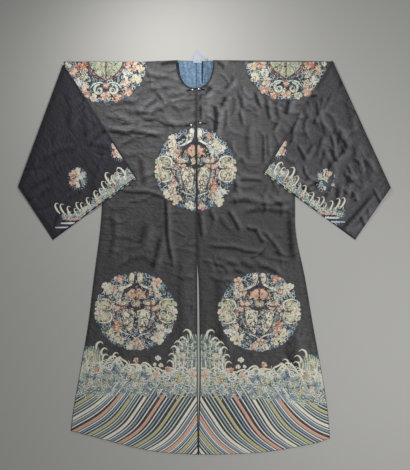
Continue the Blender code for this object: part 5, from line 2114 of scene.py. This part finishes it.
def make_bindings():
    """The bindings down the opening, along both cuffs and round the neck."""
    for half in HALVES.values():
        wide = millimetres("front_binding") / 2
        knots = opening_path(half, wide + 0.2)
        node = "front_binding_" + half.name
        sew_band("front_edge_" + half.name, node, knots, (wide, wide), half.front_top, "silk_edging", 1.2)
        wide = millimetres("cuff_binding") / 2
        knots = cuff_path(half, wide + 0.5)
        node = "cuff_binding_" + half.name
        sew_band("cuff_edge_" + half.name, node, knots, (wide, wide), half.flap_top, "dark_binding", 1.6)
    wide = millimetres("neck_binding") / 2
    knots = neck_curve(wide + 0.4)
    knots = knots[knots[:, 1] < -1.0]
    widths = np.array((2.6, 2.3, 1.6, 1.1, 0.95, 0.9, 0.9, 1.0, 1.1)) * wide
    sew_band("neck_edge", "neck_binding", knots, widths, whole_front_top, "dark_binding", 2.6)


def lining_top(points):
    """The lining at the neck: soft wrinkles, the seam at the centre back and a pleat beside it."""
    edge = distance_to_line(points, neck_curve(0.0))[0]
    squeezed = points * np.array([1.0, 0.35])
    height = soft_waves(squeezed, 45, 26.0, 0.7) + soft_waves(points, 46, 15.0, 0.25)
    pleat = ramp(9.5, 13.0, points[:, 0]) - ramp(20.5, 23.0, points[:, 0])
    pleat = 1.1 * pleat * ramp(80.0, 66.0, -points[:, 1])
    seam = -0.9 * np.exp(-(((points[:, 0] - SEAM_ACROSS) / 1.6) ** 2))
    return LINING_TOP + np.maximum(LINING_EASE + height + pleat + seam, -0.1) * ramp(0.0, 12.0, edge)


def lining_painted_shade(points):
    """Painted shade on the lining: darker in its seam groove and low creases, lighter on its raised wrinkles,
    and a little darker beyond the dark strip.
    """
    relief = (points[:, 2] - LINING_TOP - LINING_EASE) / 1.6
    seam = np.exp(-(((points[:, 0] - SEAM_ACROSS) / 1.8) ** 2))
    return np.clip(relief - 0.8 * seam - 0.35 * ramp(PLEAT_SHADOW_EDGE, PLEAT_SHADOW_EDGE + 3.0, points[:, 0]), -1.0, 1.0)


def lining_outline(half):
    """The outline of one half of the lining where the neck shows it."""
    curve = neck_curve(-0.9)
    curve = curve[curve[:, 1] < -BACK_OF_NECK]
    own = curve[(curve[:, 0] - SEAM_ACROSS) * half.side > 0.6]
    seam = SEAM_ACROSS + half.side * 0.2
    own = own if half.side < 0 else own[::-1]
    top = as_points([(seam, -LINING_START), (own[0][0], -LINING_START)])
    return np.concatenate([top, own, as_points([(seam, float(curve[:, 1].min()))])])


def flat_piece(name, outline, top, low, colour, grids, slot, node, shares=None):
    """A flat piece of cloth with its own outline, top and underside."""
    closed = closed_loop(outline)
    rim = np.concatenate([straight(a, b, 1.2 * grids[0]) for a, b in zip(closed[:-1], closed[1:])])
    mesh = ClothMesh()
    Layer(mesh, [("rim", rim)], top, low, as_drawn, (0, 0), grids)
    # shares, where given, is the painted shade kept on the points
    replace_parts(mesh.to_object(name, [colour], slot, shares), node)


def make_lining():
    """The two halves of the lining, and a dark strip beside their seam, painted as the shadow along the
    pleat.
    """
    for half in HALVES.values():
        flat_piece(
            "neck_inside_" + half.name,
            lining_outline(half),
            lining_top,
            level_at(LINING_LOW),
            "pale_blue_lining",
            (2.4, 12.0),
            "blue_lining",
            "neck_lining_" + half.name,
            lining_painted_shade,
        )
    strip = Stitching(as_drawn)
    # A navy band painted as the shadow along the pleat
    strip.stroke([(17.5, -4), (17.0, -40), (16.5, -82)], (4.4, 4.2, 2.8), "navy", 0.8, step=3.0)
    strip.to_object("lining_strip", lining_top, "dark_blue_strip", "blue_lining", "Cloth")


def tape_top(points):
    """The tape lies over the neck's edge and comes down to the table behind it."""
    drop = 1 - ramp(9.0, 28.0, points[:, 1])
    return 1.1 + 4.0 * drop + 0.4 * np.sin(points[:, 0] / 9.0) * np.cos(points[:, 1] / 11.0)


def make_tape():
    """The folded tape at the back of the neck."""
    outline = as_points(TAPE_OUTLINE)
    low = lambda points: tape_top(points) - 0.6
    flat_piece("tape_loop", outline, tape_top, low, "pale_tape", (2.0, 4.0), "pale_ribbon", "neck_tape")


def tube(shape, path, radius, sides=8, close=False):
    """A round cord along a path of points, closed at both ends unless it is a loop."""
    path = as_points(path)
    after = np.roll(path, -1, axis=0) if close else np.concatenate([path[1:], path[-1:]])
    before = np.roll(path, 1, axis=0) if close else np.concatenate([path[:1], path[:-1]])
    rings = []
    for point, ahead, behind in zip(path, after, before):
        along = Vector(ahead - behind).normalized()
        across = along.cross(Vector((0, 0, 1)))
        across = across.normalized() if across.length > 1e-4 else Vector((1, 0, 0))
        up = across.cross(along)
        turns = [math.tau * side / sides for side in range(sides)]
        spots = [Vector(point) + radius * (math.cos(turn) * across + math.sin(turn) * up) for turn in turns]
        rings.append([shape.verts.new(spot) for spot in spots])
    for first, second in zip(rings, rings[1:] + rings[:1] if close else rings[1:]):
        for side in range(sides):
            after_side = (side + 1) % sides
            shape.faces.new((first[side], second[side], second[after_side], first[after_side]))
    if not close:
        shape.faces.new(rings[0])
        shape.faces.new(rings[-1][::-1])


def shape_to_object(shape, name, colour, node):
    """Finish a bmesh drawn in millimetres as a piece that replaces a node."""
    for vertex in shape.verts:
        vertex.co = Vector(to_frame(np.array([vertex.co]))[0])
    bmesh.ops.recalc_face_normals(shape, faces=shape.faces)
    mesh = bpy.data.meshes.new(name)
    shape.to_mesh(mesh)
    shape.free()
    cloth = mesh.uv_layers.new(name="Cloth")
    places = np.array([mesh.vertices[loop.vertex_index].co[:2] for loop in mesh.loops])
    cloth.data.foreach_set("uv", places.ravel())
    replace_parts(finished_piece(mesh, name, [finish(colour)], 50), node)


def make_toggle(name):
    """A metal ball with its shank ring, and the knotted cord that holds it."""
    across, down, side = TOGGLES[name]
    half = HALVES["left" if side < 0 else "right"]
    radius = millimetres("ball_width") / 2
    ground = float(half.front_top(np.array([[across, -down]], float))[0])
    middle = Vector((across, -down, ground + 1.2 + radius))
    shape = bmesh.new()
    bmesh.ops.create_uvsphere(shape, u_segments=40, v_segments=24, radius=radius)
    bmesh.ops.translate(shape, verts=shape.verts, vec=middle)
    shank = middle + Vector((side * (radius + 1.0), 0, -1.2))
    angles = [math.tau * turn / 16 for turn in range(16)]
    ring = [shank + SHANK_RADIUS * Vector((math.cos(angle), 0, math.sin(angle))) for angle in angles]
    tube(shape, ring, WIRE_RADIUS, 8, True)
    shape_to_object(shape, "ball_" + name, "silvered_metal", "toggle_ball_" + name)
    cord = bmesh.new()
    start = shank + Vector((side * 0.6, 0, 0))
    knot = Vector((start.x + side * 4.2, start.y, ground + 2.5))
    tube(cord, [start, (start + knot) / 2 + Vector((0, 0.6, 0)), knot], CORD_RADIUS)
    for turn, tilt in ((0.0, 0.5), (1.2, -0.5), (2.3, 0.2)):
        loop = []
        for angle in np.linspace(0, math.tau, 20, endpoint=False):
            x = 2.1 * math.cos(angle)
            y = 2.1 * math.sin(angle) * math.cos(tilt)
            rise = 0.9 * math.sin(angle + turn) * math.sin(tilt) + 0.3
            spot = (x * math.cos(turn) - y * math.sin(turn), x * math.sin(turn) + y * math.cos(turn), rise)
            loop.append(knot + Vector(spot))
        tube(cord, loop, 0.95 * CORD_RADIUS, 8, True)
    for offset in (-1.15, 1.15):
        leg = []
        for share in np.linspace(0, 1, 9):
            x = knot.x + side * (1.4 + 9.5 * share)
            y = knot.y - 1.6 * share + offset * (1 + 0.4 * math.sin(math.pi * share))
            height = float(half.front_top(np.array([[x, y]]))[0])
            leg.append((x, y, height + 1.0 + 0.7 * (1 - share)))
        tube(cord, leg, CORD_RADIUS)
    shape_to_object(cord, "cord_" + name, "dark_binding", "toggle_cord_" + name)


# Hand stitches, laid end to end by a tree of geometry nodes


def stitch_tree():
    """A node tree that lays short threads along every path that it is given."""
    tree = bpy.data.node_groups.new("Running stitch", "GeometryNodeTree")
    tree.interface.new_socket(name="Paths", in_out="INPUT", socket_type="NodeSocketGeometry")
    for label in ("Pitch", "Length", "Thickness"):
        tree.interface.new_socket(name=label, in_out="INPUT", socket_type="NodeSocketFloat")
    tree.interface.new_socket(name="Finish", in_out="INPUT", socket_type="NodeSocketMaterial")
    tree.interface.new_socket(name="Stitches", in_out="OUTPUT", socket_type="NodeSocketGeometry")
    add = tree.nodes.new
    link = tree.links.new
    start = add("NodeGroupInput")
    curve = add("GeometryNodeMeshToCurve")
    link(start.outputs["Paths"], curve.inputs["Mesh"])
    even = add("GeometryNodeResampleCurve")
    even.mode = "LENGTH"
    link(curve.outputs["Curve"], even.inputs["Curve"])
    link(start.outputs["Pitch"], even.inputs["Length"])
    thread = add("GeometryNodeMeshUVSphere")
    thread.inputs["Segments"].default_value = 6
    thread.inputs["Rings"].default_value = 5
    thread.inputs["Radius"].default_value = 0.5
    turn = add("FunctionNodeAlignRotationToVector")
    turn.axis = "X"
    tangent = add("GeometryNodeInputTangent")
    link(tangent.outputs["Tangent"], turn.inputs["Vector"])
    size = add("ShaderNodeCombineXYZ")
    link(start.outputs["Length"], size.inputs["X"])
    link(start.outputs["Thickness"], size.inputs["Y"])
    link(start.outputs["Thickness"], size.inputs["Z"])
    lay = add("GeometryNodeInstanceOnPoints")
    link(even.outputs["Curve"], lay.inputs["Points"])
    link(thread.outputs["Mesh"], lay.inputs["Instance"])
    link(turn.outputs["Rotation"], lay.inputs["Rotation"])
    link(size.outputs["Vector"], lay.inputs["Scale"])
    real = add("GeometryNodeRealizeInstances")
    link(lay.outputs["Instances"], real.inputs["Geometry"])
    paint = add("GeometryNodeSetMaterial")
    link(real.outputs["Geometry"], paint.inputs["Geometry"])
    link(start.outputs["Finish"], paint.inputs["Material"])
    link(paint.outputs["Geometry"], add("NodeGroupOutput").inputs["Stitches"])
    return tree


def stitch_paths():
    """Where the bindings and the sleeve seams are sewn: the lines and the heights under them."""
    paths = []
    for half in HALVES.values():
        inset = millimetres("front_binding") + STITCH_INSET
        paths.append((opening_path(half, inset), half.front_top))
        inset = millimetres("cuff_binding") + STITCH_INSET
        paths.append((straight(*cuff_path(half, inset), 6.0), half.flap_top))
        for side in (-1, 1):
            shift = side * half.along * (SEAM_GAP + STITCH_INSET)
            inner = 0.02 * (half.seam_low - half.seam_high)
            seam = straight(half.seam_high + shift + inner, half.seam_low + shift - inner, 6.0)
            paths.append((seam, half.flap_top))
    knots = neck_curve(2 * millimetres("neck_binding") + STITCH_INSET)
    paths.append((knots[knots[:, 1] < -BACK_OF_NECK], whole_front_top))
    return paths


def make_stitches():
    """Running stitches beside the bindings and the sleeve seams, as one mesh."""
    points = []
    edges = []
    for line, ground in stitch_paths():
        first = len(points)
        points.extend(to_frame(np.column_stack([line, ground(line) + 0.15])).tolist())
        edges.extend((index, index + 1) for index in range(first, len(points) - 1))
    lines = bpy.data.meshes.new("stitch_lines")
    lines.from_pydata(points, edges, [])
    holder = bpy.data.objects.new("stitch_lines", lines)
    bpy.context.scene.collection.objects.link(holder)
    sizes = bpy.context.scene.surcoat_sizes
    values = {
        "Pitch": sizes.stitch_pitch,
        "Length": sizes.stitch_length,
        "Thickness": sizes.stitch_thickness,
        "Finish": finish("sewing_thread"),
    }
    modifier = holder.modifiers.new("Running stitch", "NODES")
    modifier.node_group = stitch_tree()
    for socket in modifier.node_group.interface.items_tree:
        if socket.name in values:
            modifier[socket.identifier] = values[socket.name]
    shown = holder.evaluated_get(bpy.context.evaluated_depsgraph_get())
    mesh = bpy.data.meshes.new_from_object(shown)
    bpy.data.objects.remove(holder)
    finished_piece(mesh, "sewing_stitches", [], 60)


# Stage

LENS_DISTANCE = 3.0
SENSOR_WIDTH = 36.0
FRAME_WIDTH = 1.4555
CAMERA_PLACE = (0.0016, 0.060, LENS_DISTANCE)
FLOOR_SIZE = 6.0

# Lights: place and width
NEAR_NECK = (-0.17, 0.86, 0.5), 0.25
SIDE_LIGHT = (1.0, -0.5, 1.6), 0.8
LIGHT_AIM = (0.05, 0.1, 0.0)
SKY = (0.95, 0.97, 1.0, 1.0)


def add_light(name, place, size, power):
    """A round soft light turned towards the middle of the coat."""
    data = bpy.data.lights.new(name, "AREA")
    data.shape = "DISK"
    data.size = size
    data.energy = power
    light = bpy.data.objects.new(name, data)
    light.location = place
    light.visible_camera = False
    aim = Vector(LIGHT_AIM) - Vector(place)
    light.rotation_euler = aim.to_track_quat("-Z", "Y").to_euler()
    bpy.context.scene.collection.objects.link(light)


def make_stage():
    """Floor, lights and camera."""
    scene = bpy.context.scene
    light = scene.surcoat_light
    mesh = bpy.data.meshes.new("floor")
    corners = [(FLOOR_SIZE * x, FLOOR_SIZE * y, 0) for x, y in ((-1, -1), (1, -1), (1, 1), (-1, 1))]
    mesh.from_pydata(corners, [], [(0, 1, 2, 3)])
    floor = bpy.data.objects.new("floor", mesh)
    scene.collection.objects.link(floor)
    material, tree, surface = new_material("pale_floor")
    surface.inputs["Base Color"].default_value = (*light.floor, 1.0)
    surface.inputs["Roughness"].default_value = 0.9
    mesh.materials.append(material)
    world = bpy.data.worlds.new("studio")
    scene.world = world
    world.use_nodes = True
    background = world.node_tree.nodes["Background"]
    background.inputs["Color"].default_value = SKY
    background.inputs["Strength"].default_value = light.ambient
    add_light("near_neck", *NEAR_NECK, light.near_neck)
    add_light("side", *SIDE_LIGHT, light.side)
    camera_data = bpy.data.cameras.new("camera")
    camera_data.sensor_fit = "HORIZONTAL"
    camera_data.sensor_width = SENSOR_WIDTH
    camera_data.lens = SENSOR_WIDTH * LENS_DISTANCE / FRAME_WIDTH
    camera = bpy.data.objects.new("camera", camera_data)
    camera.location = CAMERA_PLACE
    scene.collection.objects.link(camera)
    scene.camera = camera
    scene.view_settings.view_transform = "Standard"


# What a user may change


def length(name, description, default):
    return bpy.props.FloatProperty(
        name=name, description=description, default=default, min=0.0001, max=0.1, precision=4, unit="LENGTH"
    )


def tint(name, description, colour):
    """A colour given out of 255, kept as Blender's linear values."""
    return bpy.props.FloatVectorProperty(
        name=name, description=description, default=linear(colour), size=3, min=0.0, max=1.0, subtype="COLOR"
    )


def power(name, description, default, unit="POWER"):
    return bpy.props.FloatProperty(name=name, description=description, default=default, min=0.0, unit=unit)


class SurcoatSizes(bpy.types.PropertyGroup):
    """Sizes of the trimmings"""

    front_binding: length("Front binding", "Width of the binding down the opening", 0.0024)
    cuff_binding: length("Cuff binding", "Width of the binding along each cuff", 0.0056)
    neck_binding: length("Neck binding", "Width of the binding round the neck, where it is narrow", 0.0044)
    ball_width: length("Ball", "Width of each toggle's metal ball", 0.0092)
    stitch_pitch: length("Stitch pitch", "Distance from one hand stitch to the next", 0.008)
    stitch_length: length("Stitch length", "Length of one hand stitch", 0.0048)
    stitch_thickness: length("Stitch thickness", "Thickness of the sewing thread", 0.0006)


class SurcoatColours(bpy.types.PropertyGroup):
    """Colours of the silks"""

    silk: tint("Silk", "The body's charcoal silk", (74, 73, 74))
    # Both sleeves are the body's silk: the left painted darker as shade, the right painted lighter as
    # highlights
    left_sleeve: tint("Left sleeve", "The silk of the left sleeve, which is darker", (54, 52, 59))
    right_sleeve: tint("Right sleeve", "The silk of the right sleeve", (85, 84, 87))
    lining: tint("Lining", "The pale blue lining", (112, 137, 163))
    binding: tint("Binding", "The bindings of the neck and cuffs, and the cords", (34, 35, 42))
    edging: tint("Edging", "The binding down the opening", (56, 55, 59))
    # Colour of the painted shadow along the lining's pleat
    strip: tint("Strip", "The dark strip on the lining", (36, 48, 78))
    tape: tint("Tape", "The tape at the back of the neck", (178, 187, 200))


class SurcoatLight(bpy.types.PropertyGroup):
    """Light and floor"""

    near_neck: power("Near the neck", "Power of the light above the neck", 3.3)
    side: power("Side", "Power of the light at the side", 17.5)
    ambient: power("Ambient", "Strength of the light from all round", 0.18, "NONE")
    floor: tint("Floor", "The pale floor", (189, 188, 183))


# One operator for each group of like pieces


class SURCOAT_OT_finishes(bpy.types.Operator):
    """Make every silk, thread and metal finish"""

    bl_idname = "surcoat.finishes"
    bl_label = "Finishes"

    def execute(self, context):
        make_materials()
        return {"FINISHED"}


class SURCOAT_OT_body_panels(bpy.types.Operator):
    """Make both body panels, each with the folded part of its sleeve"""

    bl_idname = "surcoat.body_panels"
    bl_label = "Body panels"

    def execute(self, context):
        for half in HALVES.values():
            make_panel(half)
        return {"FINISHED"}


class SURCOAT_OT_sleeve_ends(bpy.types.Operator):
    """Make the end of each sleeve, from its seam to its cuff"""

    bl_idname = "surcoat.sleeve_ends"
    bl_label = "Sleeve ends"

    def execute(self, context):
        for half in HALVES.values():
            make_sleeve(half)
        return {"FINISHED"}


class SURCOAT_OT_roundels(bpy.types.Operator):
    """Embroider the large roundels"""

    bl_idname = "surcoat.roundels"
    bl_label = "Roundels"

    def execute(self, context):
        make_roundels()
        return {"FINISHED"}


class SURCOAT_OT_hem_borders(bpy.types.Operator):
    """Embroider the rocks, waves and stripes along the hem"""

    bl_idname = "surcoat.hem_borders"
    bl_label = "Hem borders"

    def execute(self, context):
        for half in HALVES.values():
            make_hem_border(half)
        return {"FINISHED"}


class SURCOAT_OT_sleeve_embroidery(bpy.types.Operator):
    """Embroider the cuffs and the small roundels of the sleeves"""

    bl_idname = "surcoat.sleeve_embroidery"
    bl_label = "Sleeve embroidery"

    def execute(self, context):
        for half in HALVES.values():
            make_sleeve_embroidery(half)
        return {"FINISHED"}


class SURCOAT_OT_bindings(bpy.types.Operator):
    """Sew the bindings of the opening, the cuffs and the neck"""

    bl_idname = "surcoat.bindings"
    bl_label = "Bindings"

    def execute(self, context):
        make_bindings()
        return {"FINISHED"}


class SURCOAT_OT_lining(bpy.types.Operator):
    """Lay the lining that shows at the neck, and its dark strip"""

    bl_idname = "surcoat.lining"
    bl_label = "Lining"

    def execute(self, context):
        make_lining()
        return {"FINISHED"}


class SURCOAT_OT_tape(bpy.types.Operator):
    """Fold the tape at the back of the neck"""

    bl_idname = "surcoat.tape"
    bl_label = "Tape"

    def execute(self, context):
        make_tape()
        return {"FINISHED"}


class SURCOAT_OT_toggles(bpy.types.Operator):
    """Make the four metal balls and their knotted cords"""

    bl_idname = "surcoat.toggles"
    bl_label = "Toggles"

    def execute(self, context):
        for name in TOGGLES:
            make_toggle(name)
        return {"FINISHED"}


class SURCOAT_OT_stitches(bpy.types.Operator):
    """Sew running stitches beside the bindings and the sleeve seams"""

    bl_idname = "surcoat.stitches"
    bl_label = "Stitches"

    def execute(self, context):
        make_stitches()
        return {"FINISHED"}


class SURCOAT_OT_stage(bpy.types.Operator):
    """Set out the floor, the lights and the camera"""

    bl_idname = "surcoat.stage"
    bl_label = "Stage"

    def execute(self, context):
        make_stage()
        return {"FINISHED"}


OPERATORS = (
    SURCOAT_OT_finishes, SURCOAT_OT_body_panels, SURCOAT_OT_sleeve_ends, SURCOAT_OT_roundels,
    SURCOAT_OT_hem_borders, SURCOAT_OT_sleeve_embroidery, SURCOAT_OT_bindings, SURCOAT_OT_lining,
    SURCOAT_OT_tape, SURCOAT_OT_toggles, SURCOAT_OT_stitches, SURCOAT_OT_stage,
)
GROUPS = {"surcoat_sizes": SurcoatSizes, "surcoat_colours": SurcoatColours, "surcoat_light": SurcoatLight}


class SURCOAT_PT_pieces(bpy.types.Panel):
    """Lists what may be changed and the pieces in the order that they are made"""

    bl_label = "Surcoat"
    bl_space_type = "VIEW_3D"
    bl_region_type = "UI"
    bl_category = "Surcoat"

    def draw(self, context):
        for name, kind in GROUPS.items():
            box = self.layout.box()
            for value in kind.__annotations__:
                box.prop(getattr(context.scene, name), value)
        for operator in OPERATORS:
            self.layout.operator(operator.bl_idname)


CLASSES = (*GROUPS.values(), *OPERATORS, SURCOAT_PT_pieces)


def register():
    for kind in CLASSES:
        bpy.utils.register_class(kind)
    for name, kind in GROUPS.items():
        setattr(bpy.types.Scene, name, bpy.props.PointerProperty(type=kind))


def unregister():
    for name in GROUPS:
        delattr(bpy.types.Scene, name)
    for kind in reversed(CLASSES):
        bpy.utils.unregister_class(kind)


def declare_sheets():
    """Works out the outline of each piece of cloth as cut before it was folded or laid; nothing is kept."""
    pieces = bpy.data.objects
    for half in HALVES.values():
        name = half.name
        sewn = [piece for piece in pieces if piece.name.startswith("roundel_") and piece.name.endswith(name)]
        sewn += [pieces["hem_border_" + name], pieces["front_edge_" + name]]
        back, front, flap, end = [
            np.concatenate([points for run, points in runs])
            for runs in (
                half.panel_runs(False, RIM_STEP),
                half.panel_runs(True, RIM_STEP),
                half.flap_runs(RIM_STEP),
                half.sleeve_runs(RIM_STEP),
            )
        ]
        sewn = [pieces[start + name] for start in ("cuff_border_", "cuff_edge_")]
        edges = np.roll([half.seam_high, half.cuff_top, half.cuff_low, half.seam_low], -1, axis=0)
        edges = np.linalg.norm(edges - np.roll(edges, 1, axis=0), axis=1) * MM
        outline = lining_outline(half)


def main():
    """Make every piece in order, then work out the outlines of the cut cloth."""
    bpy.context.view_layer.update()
    register()
    for operator in OPERATORS:
        getattr(bpy.ops.surcoat, operator.bl_idname.split(".")[1])()
    declare_sheets()


if __name__ == "__main__":
    main()
